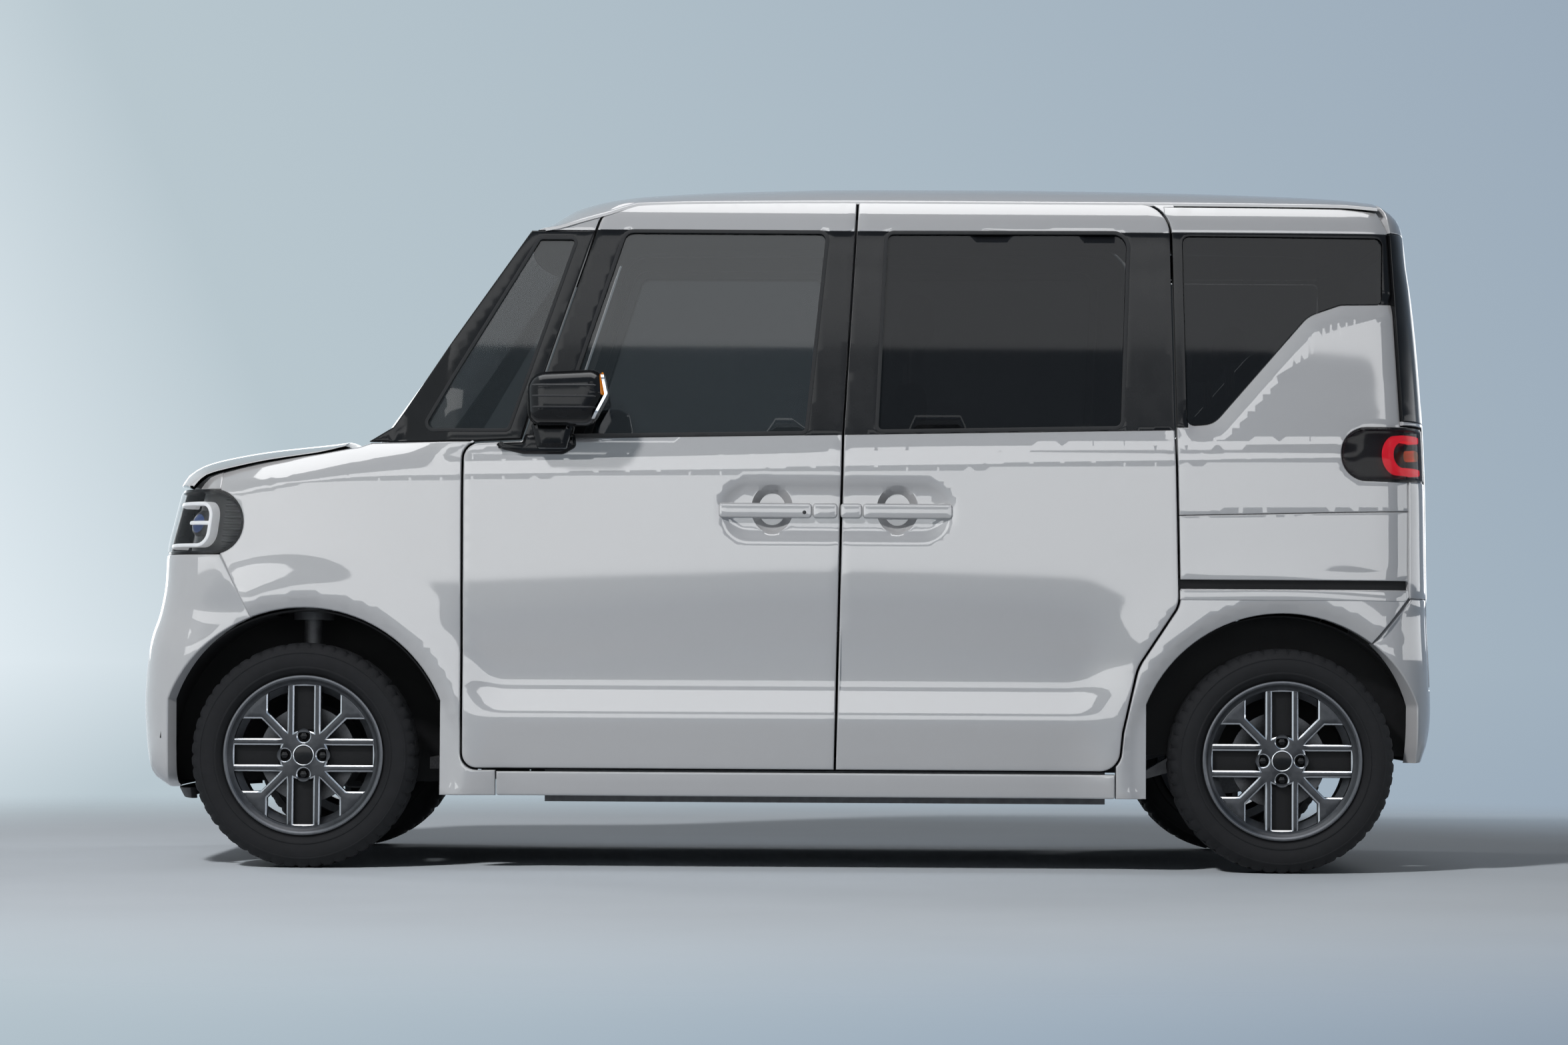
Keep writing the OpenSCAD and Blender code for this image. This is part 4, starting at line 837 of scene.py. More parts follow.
b = Build()
lamp = region([NOSE.flat(LAMP, 5), rect(lamp_0 + 1, 807, 2000, 972)])[0]
lamp_shell(b, lamp, NOSE, "lens", 9, 3.5, 70, 58)
mid = float(NOSE.of_x(-1500.0, 887.0)) + 30
for k in range(9):
    z = 822 + 15.5 * k
    rib = region([grow(lamp, -8), rounded(mid, z, 3000, z + 8, 3)], [], 60)
    if rib:
        panel(b, rib, NOSE.at, [(-2, 26), (0, 28), (0, 60), (-1, 60)], "lamp_body", step=16)
back = float(NOSE.of_x(-1497.0, 887.0))
ring = outline([(lamp_0 - 60, 824), (back, 824, 40), (back, 942, 40), (lamp_0 - 60, 942)])
core = outline([(lamp_0 - 80, 834), (back - 12, 834, 30), (back - 12, 932, 30), (lamp_0 - 80, 932)])
guides = region([ring, rect(lamp_0 + 10, 700, 4000, 1100)], [core], 60)
for l in guides + [rounded(back - 80, 882, back - 6, 892, 4)]:
    panel(b, [l], NOSE.at, [(-3, 8), (-1, 8.8), (0, 11), (0, 40), (-2, 42)], "guide_white", step=8)
for r, d, m in ((34, 24, "lamp_body"), (27, 20, "blue_lens")):
    panel(b, [circle(back - 62, 886, r)], NOSE.at,
          [(-r * 0.8, d - 8), (-r * 0.45, d - 5), (-r * 0.15, d), (0, d + 6), (0, 58), (-1, 58)], m, step=7)
b.mirror().make("headlamp_units", "body", ["headlamps"], "lamp_clear")

# Tail
t_gate = float(TAIL.of_y(588.0, 700.0))
b = Build()
loops = region([both_u(TAIL.flat(BUMP_LINE))],
               [both_u(TAIL.flat(arch(RX), 8)), rect(-t_gate - GAP, 474, t_gate + GAP, 900)])
panel(b, loops, TAIL.at, rolled(4, 38), "paint", back="dark")
b.make("rear_bumper_skin", "body", ["rear_bumper"], "paint")

b = Build()
corner = region([rect(t_gate + GAP, 709.5, 4000, 1011.5), TAIL.flat(rect(1600.5, 705, 1760, 1015))])
panel(b, corner, TAIL.at, rolled(4, 36), "paint", back="dark")
b.mirror().make("rear_corners_skin", "body", ["rear_corners"], "paint")

b = Build()
tl = region([TAIL.flat(TAILLAMP, 5), rect(t_gate + GAP, 1012, 4000, 1151)])[0]
lamp_shell(b, tl, TAIL, "lens_dark", 8, 3, 60, 46)
u0, u1 = float(TAIL.of_x(1545.0, 1080.0)), t_gate + 14
ring = outline([(u1 - 30, 1030), (u0, 1030, 52), (u0, 1133, 52), (u1 - 30, 1133)])
core = outline([(u1 - 40, 1048), (u0 - 19, 1048, 34), (u0 - 19, 1115, 34), (u1 - 40, 1115)])
for l in region([ring, rect(u1, 900, 4000, 1300)], [core], 60):
    panel(b, [l], TAIL.at, [(-5, 9), (-2, 10), (0, 14), (0, 40), (-2, 42)], "guide_red", step=9)
panel(b, [rounded(u1 + 8, 1068, u1 + 62, 1096, 14)], TAIL.at,
      [(-6, 10), (-2, 12), (0, 16), (0, 40), (-2, 42)], "amber", step=9)
b.mirror().make("tail_lamp_units", "body", ["tail_lamps"], "lamp_red")

# Tailgate, its side edge seen from the side as a line
gate_u = ccw(TAIL.flat(outline([(1900, 480), (1900, 1744), (1534, 1744), (1549, 1718), (1557, 1670),
                                (1583, 1158), (1620, 1158), (1620, 480)]), 6))
half = float(TAIL.of_y(540.0, 1400.0))
gate_win = rounded(-half, 1196, half, 1630, 40)
gate_all = [both_u(gate_u), [rect(-t_gate, 480, t_gate, 1158.5), rect(-4000, 1158, 4000, 1800)]]
b = Build()
for z0, z1, r, m in ((400, 1168, 3, "paint"), (1169, 1662, 2, "gloss_black"), (1663, 1900, 3, "paint")):
    band = region(gate_all + [rect(-4000, z0, 4000, z1)], [gate_win])
    panel(b, band, TAIL.at, rolled(r, 50), m, back="cabin")
panel(b, [rounded(-205, 770, 205, 985, 20)], TAIL.at, proud(1.5, 1.2, 5), "gloss_black", step=30)
plate(b, TAIL, 785, 6)
panel(b, [rounded(-190, 990, 190, 1020, 8)], TAIL.at, [(-7, -14), (-2, -12.5), (0, -8), (0, 2), (-1, 2)],
      "gloss_black", step=20)
panel(b, [rounded(-150, 1672, 150, 1686, 5)], TAIL.at, proud(3, 2, 2), "lens_red", step=14)
b.make("tailgate_skin", "tailgate", ["tailgate"], "paint")
b = Build()
arm = TAIL.at(np.linspace(0, 330, 12), np.linspace(1185, 1172, 12), -15.0)
tube(b, arm, np.linspace(8, 4, 12), "trim", 10)
panel(b, [circle(0, 1185, 20, 32)], TAIL.at, [(-9, -24), (-3, -23), (0, -18), (0, 1), (-1, 1)], "trim",
      step=9)
b.make("rear_wiper_arm", "tailgate", (), "black_trim")
b = Build()
panel(b, [grow(gate_win, -0.5)], TAIL.at, [(-2, 6), (0, 8), (0, 11), (-2, 13)], "glass_rear")
b.make("tailgate_pane", "tailgate", ["tailgate_glass"], "glass")

# Roof, bonnet and windscreen
ROOF = [(-713, 1664, 1662, 1), (-673, 1690, 1668, 0.92), (-638, 1711, 1676, 0.82), (-603, 1731, 1684, 0.68),
        (-560, 1745, 1693, 0.5), (-500, 1759, 1706, 0.3), (-440, 1767, 1722, 0.12), (-393, 1772, 1732, 0),
        (-147, 1789, 1738, 0), (203, 1799, 1741, 0), (554, 1800, 1741, 0), (905, 1796, 1741, 0),
        (1255, 1786, 1740, 0), (1430, 1776, 1738, 0), (1526, 1764, 1730, 0)]
ROOF_C, ROOF_E, ROOF_B = (Line([(r[0], r[k]) for r in ROOF]) for k in (1, 2, 3))
# How far the windscreen bows, and the half widths that roof, bonnet and windscreen are laid out on
BOW, ROOF_HALF, BONNET_HALF, SCREEN_HALF = 66.0, 650.0, 674.0, 600.0


def roof_at(x, w, d=0.0):
    """x along the car, w across as a share of the half width times ROOF_HALF."""
    s = w / ROOF_HALF
    c, e, k = ROOF_C(x), ROOF_E(x), ROOF_B(x)
    z = c - (c - e) * np.abs(s) ** 6 - d * (1 - 0.65 * np.abs(s) ** 4)
    return xyz(x + k * BOW * s * s + 7 * k, base_y(e) * s, z)


b = Build()
panel(b, [rect(-713, -ROOF_HALF, 1526, ROOF_HALF)], roof_at, [(-4, 0), (-2, 0.6), (0, 3), (0, 24), (-4, 26)],
      "paint", step=26, back="cabin_pale")
EAVE = outline([(-660, 1656), (-470, 1656), (-380, 1740), (-393, 1733), (-431, 1723), (-478, 1707),
                (-523, 1694), (-553, 1685), (-578, 1677), (-606, 1669), (-640, 1663)])
EAVES = region([EAVE], [grow(DOOR, GAP / 2)], 200)
EAVES += region([rect(880, 1650, 996, 1741)], [grow(SLIDE, GAP / 2), REAR_LINE], 60)
for l in EAVES:
    for s in (1, -1):
        panel(b, [l], lambda x, z, d=0.0, s=s: side_at(x, z, d) * (1, s, 1), rolled(1.5, 20), "paint",
              step=14)
b.make("roof_skin", "body", ["roof"], "paint")

BONNET = [(-1602, 984, 1, 0), (-1592, 1018, 1, 34), (-1568, 1040, 0.9, 39), (-1540, 1054, 0.8, 38),
          (-1473, 1072, 0.55, 39), (-1368, 1090, 0.3, 36), (-1228, 1105, 0.1, 30), (-1152, 1112, 0, 20)]
run = np.concatenate([[0], np.cumsum([math.dist(p[:2], q[:2]) for p, q in zip(BONNET, BONNET[1:])])])
BON_X, BON_Z, BON_W, BON_D = (Line([(s, r[k]) for s, r in zip(run, BONNET)]) for k in range(4))


def bonnet_at(u, w, d=0.0):
    """u along the bonnet's arc from its front edge, w across it."""
    s = np.abs(w) / BONNET_HALF
    sag = 225 * (1 - np.maximum(0, 1 - (np.abs(w) / 730) ** NOSE_N) ** (1 / NOSE_N))
    lean = np.clip(1 - u / 90, 0, 1)
    x = BON_X(u) + BON_W(u) * sag + d * lean
    z = BON_Z(u) - BON_D(u) * s ** 5 - d * (1 - lean) * (1 - 0.86 * s ** 6)
    return xyz(x, w, z)


b = Build()
panel(b, [rect(1, 1 - BONNET_HALF, run[-1] - 1, BONNET_HALF - 1)], bonnet_at,
      [(-4, 0), (-2, 0.6), (0, 4), (0, 18), (-4, 20)], "paint", step=24, back="dark")
b.make("bonnet_skin", "bonnet", ["bonnet"], "paint")

SCREEN = Line([(1110, 1118), (1158, 1085), (1280, 997), (1400, 910), (1520, 824), (1648, 731), (1663, 720)])


def screen_at(w, z, d=0.0):
    """w across as a share of the half width times SCREEN_HALF."""
    s = w / SCREEN_HALF
    half = side_y(BOW - SCREEN(z), z) - 40.6
    return xyz(-SCREEN(z) + BOW * s * s + d, s * half, z)


b = Build()
panel(b, [rect(-SCREEN_HALF, 1110, SCREEN_HALF, 1662)], screen_at,
      [(-1, 0), (0, 1), (0, 5.2), (-1, 6.2)], "glass_front", step=40)
b.make("windscreen_pane", "body", ["windscreen"], "glass")

# Windows
PANE = [(-1.5, 7.4), (-0.4, 8.5), (-0.4, 12), (-1.5, 13)]
b = Build()
for win, glass in ((LIGHT_WIN, "glass_front"), (SLIDE_WIN, "glass_rear"), (QUARTER_WIN, "glass_rear")):
    panel(b, [win], side_at, PANE, glass, step=40)
b.mirror().make("side_panes", "body", ["side_glass"], "glass")
b = Build()
panel(b, [FRONT_WIN], side_at, PANE, "glass_front", step=40)
b.twins("front_pane_%s", ["front_glass_%s"], "glass")


# Black covers round the windows
def seal(b, win, reach):
    """Rubber round a window."""
    panel(b, region([grow(win, reach)], [grow(win, -5)]), side_at,
          [(-1.2, -1.6), (-0.4, -1.3), (0, -0.2), (0, 9), (-0.5, 9)], "rubber", step=12)


def cover(b, door, win):
    """Gloss black round a door's window, flush with the door, and the window's seal."""
    panel(b, region([grow(door, -GAP / 2 - 0.5), BLACK], [grow(win, 0.5)]), side_at,
          [(-1.0, 0.0), (-0.3, 0.3), (0, 1.0), (0, 2.2), (-0.6, 2.2)], "gloss_black", step=14)
    seal(b, win, 5)


b = Build()
cover(b, DOOR, FRONT_WIN)
b.twins("door_black_%s", (), "black_trim")
b = Build()
cover(b, SLIDE, SLIDE_WIN)
seal(b, LIGHT_WIN, 4)
b.mirror().make("window_black", "body", (), "black_trim")

# Wheels
HALF_TYRE = [(190.8, 30), (190.8, 56.5), (203, 60.5), (208, 62), (212, 67.5), (217, 74), (222, 78.5),
             (224, 80.2), (227, 80.6), (229, 79.2), (236, 81.4), (246, 82.4), (254, 82), (260, 80.6),
             (262, 80.2), (263, 81.2), (265, 81), (266.5, 78.8), (271, 76), (277, 71.5), (282, 66.5),
             (286, 60.5), (288.3, 54), (289.2, 47), (289.4, 41), (283, 40), (283, 33), (289.5, 32),
             (289.5, 15.5), (283, 14.5), (283, 7), (289.5, 6)]
PROFILE = [(202, -30), (202, 30)] + HALF_TYRE + [(r, -w) for r, w in HALF_TYRE[::-1]]
SHOULDERS = [i for i, (r, w) in enumerate(PROFILE) if abs(w) > 40.5 and r > 275]
RIBS = [i for i, (r, w) in enumerate(PROFILE) if abs(w) < 33 and r > 289]


def sipes(i, k):
    """How far the tread is cut at step i round the tyre and point k of its profile."""
    return -4.5 * np.isin(k, SHOULDERS) * (i % 4 == 0) - 4.0 * np.isin(k, RIBS) * (i % 12 == 0)


RIM = [(182, -69), (203, -69), (203, -62), (190, -57), (190, -39), (174, -25), (174, 25), (190, 37),
       (190, 57), (203, 60.5), (206.5, 63), (206.8, 66), (205.5, 68.4), (203, 69), (199, 68.2), (195, 65),
       (191, 60), (188, 58), (184, 56), (183.5, 39), (167, 27), (167, -27), (182, -41)]

# Distance of the spokes' face from the wheel's middle plane
FACE_OUT = 57


def turned(l, quarters):
    """Loop turned about the wheel's axle."""
    c, s = math.cos(quarters * math.pi / 2), math.sin(quarters * math.pi / 2)
    return l @ np.array([[c, s], [-s, c]])


SPOKES = [circle(0, 0, 64, 64)]
for k in range(4):
    SPOKES += [turned(rect(x - 9, 20, x + 9, 196), k) for x in (-34, 34)]
    SPOKES += [turned(outline([(93, 210), (93, 108), (108, 93), (210, 93), (210, 210)]), k)]
    SPOKES += [turned(rect(-12, 30, 12, 152), k + 0.5), turned(rect(-40, 178, 40, 196), k)]
BOLTS = [(49 * math.cos(k * math.pi / 2), 49 * math.sin(k * math.pi / 2)) for k in range(4)]
FACE = region([circle(0, 0, 187, 128), SPOKES], [[circle(x, z, 14.5, 32) for x, z in BOLTS]], 60)

LIP = [(196.5, 66.4), (200, 69), (203, 69.3), (205.2, 68.6), (203, 67.4)]
CAP_RING = [(24.2, 55), (24.2, 59.6), (25.4, 60.6), (27.2, 60.2), (28.2, 58.4), (28.2, 55)]
HUB = [(58, -42), (58, 34), (40, 36), (20, 36), (20, -102), (38, -102), (40, -60), (52, -46)]
DISC = [(57, -34.2), (72, -34.2), (74, -33.4), (124, -33.4), (125, -34.4), (125, -45.6), (124, -46.6),
        (57, -46.6)]
TURNED = [(RIM, "alloy_dark", 128), (LIP, "alloy_lip", 128), (CAP_RING, "alloy_bright", 64),
          (HUB, "cast", 64), (DISC, "disc", 96)]
for x, end in ((FX, "front"), (RX, "rear")):
    for s, side in ((1, "right"), (-1, "left")):
        place = end + "_" + side
        hub = (x, s * WHEEL_Y, WZ)

        def on(u, v, d, x=x, s=s):
            return xyz(x + u, s * (WHEEL_Y + FACE_OUT - d), WZ + v)

        b = Build()
        lathe(b, PROFILE, hub, "tyre", 216, s, sipes)
        b.make("tyre_" + place + "_tread", "wheel_" + place, ["tyre_" + place], "tyre", sharp=28)
        b = Build()
        for profile, m, n in TURNED:
            lathe(b, profile, hub, m, n, s)
        panel(b, FACE, on, [(-5.0, 0.0), (-4.4, 0.3, "alloy_dark"), (-0.5, 3.6, "alloy_bright"),
                            (0, 5.5, "alloy_dark"), (0.4, 24), (-2, 26)], "alloy_dark", step=14)
        for k in range(4):
            panel(b, [turned(rect(-25, 66, 25, 180), k)], on, [(0, 21), (0, 25)], "dark", step=20)
        for u, v in BOLTS:
            panel(b, [circle(u, v, 16, 24)], on, [(0, 16), (0, 20)], "dark", step=10)
            panel(b, [circle(u, v, 10.5, 6)], on, [(-3.5, -1), (-1.2, 0), (0, 2.5), (0.0, 17), (-1, 17)],
                  "gloss_black", step=9)
        panel(b, [circle(0, 0, 24, 48)], on,
              [(-19, -4.6), (-8, -4.2), (-1.5, -3.4), (0, -2), (0, 2), (-1, 2)], "gloss_black", step=8)
        b.make("rim_" + place + "_alloy", "wheel_" + place, ["rim_" + place], "alloy", sharp=30)


# Handles
def bar(b, x0, x1):
    """One length of a door handle."""
    panel(b, [rounded(x0, 908, x1, 946, 9, 5)], side_at,
          [(-6, -5), (-2.4, -3.9), (-0.4, -1.4), (0, 2), (0, 15), (-5, 19)], "paint", step=16)


b = Build()
bar(b, -184, 55)
bar(b, 57.5, 121)
panel(b, [circle(36, 922, 5, 20)], side_at, [(-2, -5.6), (0, -5), (0, 0), (-1, 0)], "trim", step=4)
b.twins("front_handle_%s", (), "paint")
b = Build()
bar(b, 129, 184)
bar(b, 186.5, 417)
b.mirror().make("slide_handles", "body", (), "paint")

# Mirrors
hood_at = plane_xz(886)
HOOD = outline([(-672, 1138, 34), (-678, 1272, 50), (-482, 1282, 40), (-467, 1215, 26), (-508, 1138, 36)], 12)
FOOT = outline([(-770, 1097, 5), (-742, 1080, 22), (-690, 1068, 24), (-586, 1068, 26), (-552, 1088, 14),
                (-556, 1121, 8), (-684, 1121, 8), (-692, 1100, 4)])
STALK = outline([(-650, 1080, 8), (-668, 1146, 8), (-556, 1146, 8), (-575, 1080, 8)])
CROWN = [(-44, 0), (-33, 2), (-23, 6), (-14, 14), (-7, 27), (-2.5, 44), (0, 68)]
AMBER = outline([(-484, 1212, 4), (-472, 1214, 4), (-478, 1272, 4), (-488, 1270, 4)])


def hood_back(y, z, d):
    """Slanting rear face of the mirror hood."""
    x = np.where(z > 1215, -467 - (z - 1215) * 0.2, -467 - (1215 - z) * 0.53)
    return xyz(x + 0.3 - d, y, z)


def hood_depth(lift):
    """Depth of the hood's crowned face, raised by a little."""
    inset, deep = np.array(CROWN[::-1]).T

    def at(x, z):
        return np.interp(distance(xyz(x, z), HOOD, np.roll(HOOD, -1, axis=0) - HOOD), -inset, deep) - lift
    return at


b = Build()
panel(b, [HOOD], hood_at, CROWN + [(0, 118), (-3, 130), (-9, 139), (-15, 142)], "gloss_black", step=16)
panel(b, [AMBER], hood_at, [(-1.5, hood_depth(2.0)), (0, hood_depth(1.0)), (0, 80), (-1, 82)], "amber",
      step=4)
for z in (1178, 1206, 1234):
    rib = outline([(-660, z, 2), (-496, z, 2), (-494, z + 5, 2), (-660, z + 5, 2)])
    panel(b, [rib], hood_at, [(-1.5, hood_depth(2.2)), (0, hood_depth(0.8)), (0, 60), (-1, 60)], "trim",
          step=6)
panel(b, [rounded(756, 1152, 868, 1268, 20)], hood_back, [(-1, 0), (0, 1), (0, 8), (-1, 8)], "reflector",
      step=14)
panel(b, [STALK], plane_xz(790), [(-16, 0), (-8, 2), (-2, 8), (0, 18), (0, 100), (-2, 100)], "gloss_black",
      step=16)
panel(b, [FOOT], side_at, [(-16, -19), (-8, -17), (-2, -10), (0, 0), (0, 5), (-1, 5)], "gloss_black", step=14)
b.twins("mirror_%s_hood", ["mirror_%s"], "black_trim")


# Wheel-houses, laid out flat by their angle about the axle
def house(cx):
    def at(u, v, d):
        r, a = HOUSE_R + d, u / HOUSE_R
        return xyz(cx + r * np.cos(a), v, WZ + r * np.sin(a))
    return at


def deg(a):
    """Arc length of an angle on a wheel-house."""
    return math.radians(a) * HOUSE_R


def inner(cx, hole, z):
    """The disc that closes a wheel-house on its inner side, round its axle and down to z."""
    return region([circle(cx, WZ, HOUSE_R, 96)], [circle(cx, WZ, hole), rect(-3000, -100, 3000, z)])


b = Build()
LINING = [(0, 0), (0, 4)]
front = [rect(deg(6.5), 392, deg(173.5), 550.5), rect(deg(22.8), 550, deg(173.5), 690)]
panel(b, region([front], [rect(deg(90) - 95, 380, deg(90) + 95, 606)]), house(FX), LINING, "dark", step=30)
panel(b, [rect(deg(27.5), 541, deg(173.5), 640)], house(RX), LINING, "dark", step=30)
panel(b, inner(FX, 125, 215), plane_xz(397), LINING, "dark", step=40)
panel(b, inner(RX, 64, 300), plane_xz(545), LINING, "dark", step=40)
b.mirror().make("wheel_houses", "body", ["wheel_liners"], "liner")


# Seats: the pads' mesh size in metres and the frames of their cloth run
VOXEL, FRAMES = 0.013, 20


def puff(o, swell, seams):
    """Pad swollen by a cloth run, no point moving further than swell, its seams pulled in afterwards."""
    def result():
        return o.evaluated_get(bpy.context.evaluated_depsgraph_get())

    def fix():
        me = bpy.data.meshes.new_from_object(result())
        o.modifiers.clear()
        o.data = me

    def read(me, what):
        q = np.empty(len(me.vertices) * 3)
        me.vertices.foreach_get(what, q)
        return q.reshape(-1, 3)

    m = o.modifiers.new("remesh", "REMESH")
    m.mode, m.voxel_size, m.use_smooth_shade = "VOXEL", VOXEL, True
    fix()
    was = read(o.data, "co")
    c = o.modifiers.new("cloth", "CLOTH")
    c.settings.quality, c.settings.mass = 4, 0.3
    c.settings.tension_stiffness = c.settings.compression_stiffness = 12
    c.settings.shear_stiffness, c.settings.bending_stiffness = 6, 0.6
    c.settings.use_pressure, c.settings.uniform_pressure_force = True, 4
    c.settings.effector_weights.gravity = 0
    c.point_cache.frame_start, c.point_cache.frame_end = 1, FRAMES
    for f in range(1, FRAMES + 1):
        scene.frame_set(f)
    move = read(result().data, "co") - was
    share = np.minimum(1, swell * MM / np.maximum(np.linalg.norm(move, axis=1), 1e-9))
    o.modifiers.clear()
    scene.frame_set(1)
    o.data.vertices.foreach_set("co", (was + move * share[:, None]).ravel())
    o.data.update()
    k = o.modifiers.new("finer", "SUBSURF")
    k.levels = k.render_levels = 1
    fix()
    me, q = o.data, read(o.data, "co")
    for y in seams:
        pull = 0.005 * np.exp(-((q[:, 1] - y * MM) / 0.007) ** 2)
        q = q - read(me, "normal") * pull[:, None]
    me.vertices.foreach_set("co", q.ravel())
    me.polygons.foreach_set("use_smooth", [True] * len(me.polygons))
    me.update()


def pad(names, corners, y, half, swell, seams):
    """The same pad at each y, swollen once and copied."""
    b = Build()
    t = 2 * half
    rows = [(-34, 0), (-18, 4), (-6, 14), (0, 34), (0, t - 34), (-6, t - 14), (-18, t - 4), (-34, t)]
    panel(b, [grow(outline(corners), -swell * 0.6)], plane_xz(y[0] + half), rows, "seat_cloth", step=30)
    me = bpy.data.meshes.new(names[0])
    me.from_pydata([tuple(MM * c for c in v) for v in b.v], [], b.f)
    me.materials.append(MATS["seat_cloth"])
    first = bpy.data.objects.new(names[0], me)
    scene.collection.objects.link(first)
    puff(first, swell, [y[0] + k for k in seams])
    for name, at in zip(names, y):
        o = first
        if at != y[0]:
            o = bpy.data.objects.new(name, first.data.copy())
            o.data.transform(Matrix.Translation((0, (at - y[0]) * MM, 0)))
            scene.collection.objects.link(o)
        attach(o, "body")


SEAT_Y, REST_Y = [320.0, -320.0], [270.0, -270.0]
CHANNELS, BENCH_CHANNELS = (-128, 128), (-345, -172, 0, 172, 345)
pad(["seat_cushion_right", "seat_cushion_left"],
    [(-186, 516, 45), (-198, 630, 50), (158, 594, 30), (182, 516, 40)],
    SEAT_Y, 232, 9, CHANNELS)
pad(["seat_back_right", "seat_back_left"],
    [(180, 586, 40), (264, 1278, 45), (366, 1298, 45), (292, 606, 45)],
    SEAT_Y, 232, 9, CHANNELS)
pad(["seat_headrest_right", "seat_headrest_left"],
    [(280, 1380, 30), (295, 1522, 38), (374, 1522, 38), (384, 1380, 30)],
    SEAT_Y, 126, 6, ())
pad(["bench_cushion"],
    [(694, 576, 40), (687, 682, 48), (1022, 646, 30), (1046, 576, 35)],
    [0.0], 512, 9, BENCH_CHANNELS)
pad(["bench_back"],
    [(1042, 636, 35), (1138, 1260, 42), (1228, 1275, 42), (1160, 606, 40)],
    [0.0], 512, 9, BENCH_CHANNELS)
pad(["bench_headrest_right", "bench_headrest_left"],
    [(1136, 1338, 25), (1144, 1444, 28), (1212, 1444, 28), (1220, 1338, 25)],
    REST_Y, 126, 6, ())
SHIELD = outline([(60, 520, 30), (40, 590, 25), (200, 640, 40), (290, 620, 30), (280, 520, 40)])
b = Build()
for y in SEAT_Y:
    for k in (-60, 60):
        tube(b, [(322, y + k, 1270), (325, y + k, 1330), (327, y + k, 1395)], 7, "steel", 16)
    for k in (-190, 150):
        block(b, (-130, y + k, 286), (240, y + k + 40, 522), "cabin", 10)
    for k in (-238, 226):
        panel(b, [SHIELD], plane_xz(y + k + 12), [(-4, 0), (-1, 1), (0, 4), (0, 8), (-1, 11), (-4, 12)],
              "cabin", step=30)
b.make("seat_frames", "body", ["front_seats"], "iron")
b = Build()
block(b, (980, -400, 561), (1140, 400, 598), "cabin", 8)
for y in REST_Y:
    for k in (-60, 60):
        tube(b, [(1180, y + k, 1240), (1180, y + k, 1300), (1180, y + k, 1352)], 7, "steel", 16)
b.make("bench_frame", "body", ["rear_seat"], "iron")

# Camera
cam = bpy.data.cameras.new("camera")
cam.lens, cam.sensor_width = 91.5, 36.0
co = bpy.data.objects.new("camera", cam)
scene.collection.objects.link(co)
co.location = (-0.014, -10.98, 0.527)
co.rotation_euler = (math.radians(90 + 2.06), math.radians(-0.35), 0)
scene.camera = co
scene.view_settings.view_transform = "Standard"

# Floor that fades out into the plain background
me = bpy.data.meshes.new("floor")
me.from_pydata([(16 * x, 16 * y, 0) for x, y in circle(0, 0, 1, 96)], [], [range(96)])
fl = bpy.data.objects.new("floor", me)
scene.collection.objects.link(fl)
m = material("floor", (0.78, 0.84, 0.90), 0.8, vary=0.02, scale=1.5, spec=0.0, bump=0.02, bump_scale=90)
me.materials.append(m)
t = m.node_tree
away, fade = node(t, "VectorMath"), node(t, "MapRange", From_Min=2.3, From_Max=5.8, To_Min=1.0, To_Max=0.0)
away.operation = "LENGTH"
fade.interpolation_type = "SMOOTHSTEP"
t.links.new(node(t, "TexCoord").outputs["Object"], away.inputs[0])
t.links.new(away.outputs["Value"], fade.inputs["Value"])
t.links.new(fade.outputs["Result"], t.nodes["Principled BSDF"].inputs["Alpha"])

# Dim light all round; the eye, gloss and glass see a pale background, lighter at the front of the car
w = bpy.data.worlds.new("world")
scene.world = w
w.use_nodes = True
t = w.node_tree
join = t.links.new


def peak(a, b):
    """The larger of two values."""
    n = node(t, "Math")
    n.operation = "MAXIMUM"
    join(a, n.inputs[0])
    join(b, n.inputs[1])
    return n.outputs[0]


def along(direction):
    """How far the view points along a direction."""
    n = node(t, "VectorMath")
    n.operation = "DOT_PRODUCT"
    n.inputs[1].default_value = direction
    join(node(t, "TexCoord").outputs["Generated"], n.inputs[0])
    return n.outputs["Value"]


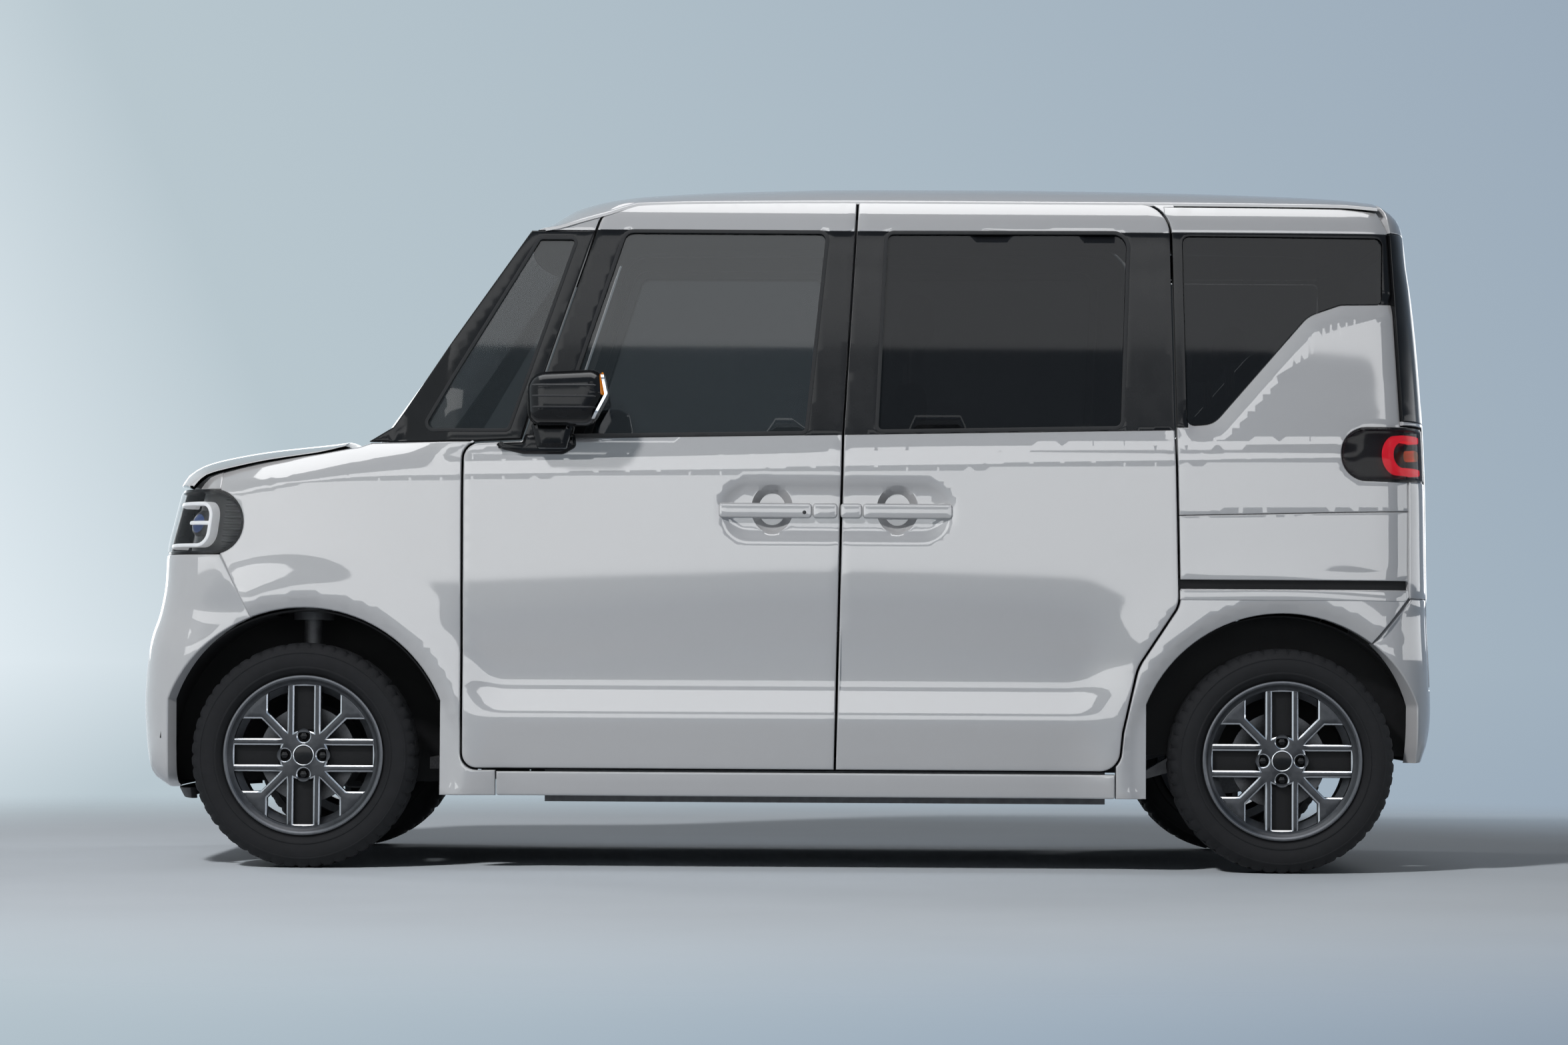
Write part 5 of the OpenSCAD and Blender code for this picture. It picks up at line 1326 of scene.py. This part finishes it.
dim = t.nodes["Background"]
dim.inputs["Color"].default_value = (0.70, 0.75, 0.80, 1)
dim.inputs["Strength"].default_value = 0.10
span, ramp = node(t, "MapRange", From_Min=-0.2, From_Max=0.4), node(t, "ValToRGB")
ramp.color_ramp.elements.new(0.167)
ramp.color_ramp.elements.new(0.75)
for stop, c in zip(ramp.color_ramp.elements, ((0.76, 0.84, 0.89), (0.48, 0.57, 0.62),
                                              (0.335, 0.415, 0.50), (0.27, 0.335, 0.415))):
    stop.color = c + (1,)
pale, mix = node(t, "Background"), node(t, "MixShader")
ray = node(t, "LightPath").outputs
join(peak(along((1, 0, 0.45)), along((1, 0, -2.0))), span.inputs["Value"])
join(span.outputs["Result"], ramp.inputs["Fac"])
join(ramp.outputs["Color"], pale.inputs["Color"])
join(peak(peak(ray["Is Camera Ray"], ray["Is Glossy Ray"]), ray["Is Transmission Ray"]), mix.inputs["Fac"])
join(dim.outputs[0], mix.inputs[1])
join(pale.outputs[0], mix.inputs[2])
join(mix.outputs[0], t.nodes["World Output"].inputs["Surface"])


def area_light(name, at, to, size, size_y, power, diffuse, glossy):
    """Lamp that the camera doesn't see; it lights surfaces, or shows in their gloss, or both."""
    d = bpy.data.lights.new(name, "AREA")
    d.shape, d.size, d.size_y, d.energy = "RECTANGLE", size, size_y, power
    o = bpy.data.objects.new(name, d)
    scene.collection.objects.link(o)
    o.location = at
    o.visible_camera = False
    o.visible_diffuse = diffuse
    o.visible_glossy = glossy
    o.rotation_euler = (Vector(to) - Vector(at)).to_track_quat("-Z", "Y").to_euler()


# Two lamps and a fill light the car; the panels show only in its gloss
area_light("key", (-5.0, -9.0, 8.0), (0, 0, 0.4), 0.9, 0.9, 800, True, False)
area_light("back", (-7.0, 3.5, 4.0), (-3.4, 1.6, 0), 1.6, 1.6, 70, True, False)
area_light("top", (0, -0.6, 5.5), (0, 0, 0), 6.0, 4.0, 270, False, True)
area_light("softbox", (0, -12.6, 2.15), (0, 0, 2.15), 18.0, 2.4, 235, False, True)
area_light("far_softbox", (0, 12.6, 2.15), (0, 0, 2.15), 18.0, 2.4, 235, False, True)
area_light("rear_softbox", (12.6, 0, 2.15), (0, 0, 2.15), 18.0, 2.4, 235, False, True)
area_light("fill", (6.0, 8.0, 7.0), (0, 0, 0.6), 3.0, 3.0, 120, True, False)
area_light("card", (0, -12.6, 6.3), (0, 0, 6.3), 18.0, 2.4, 290, False, True)
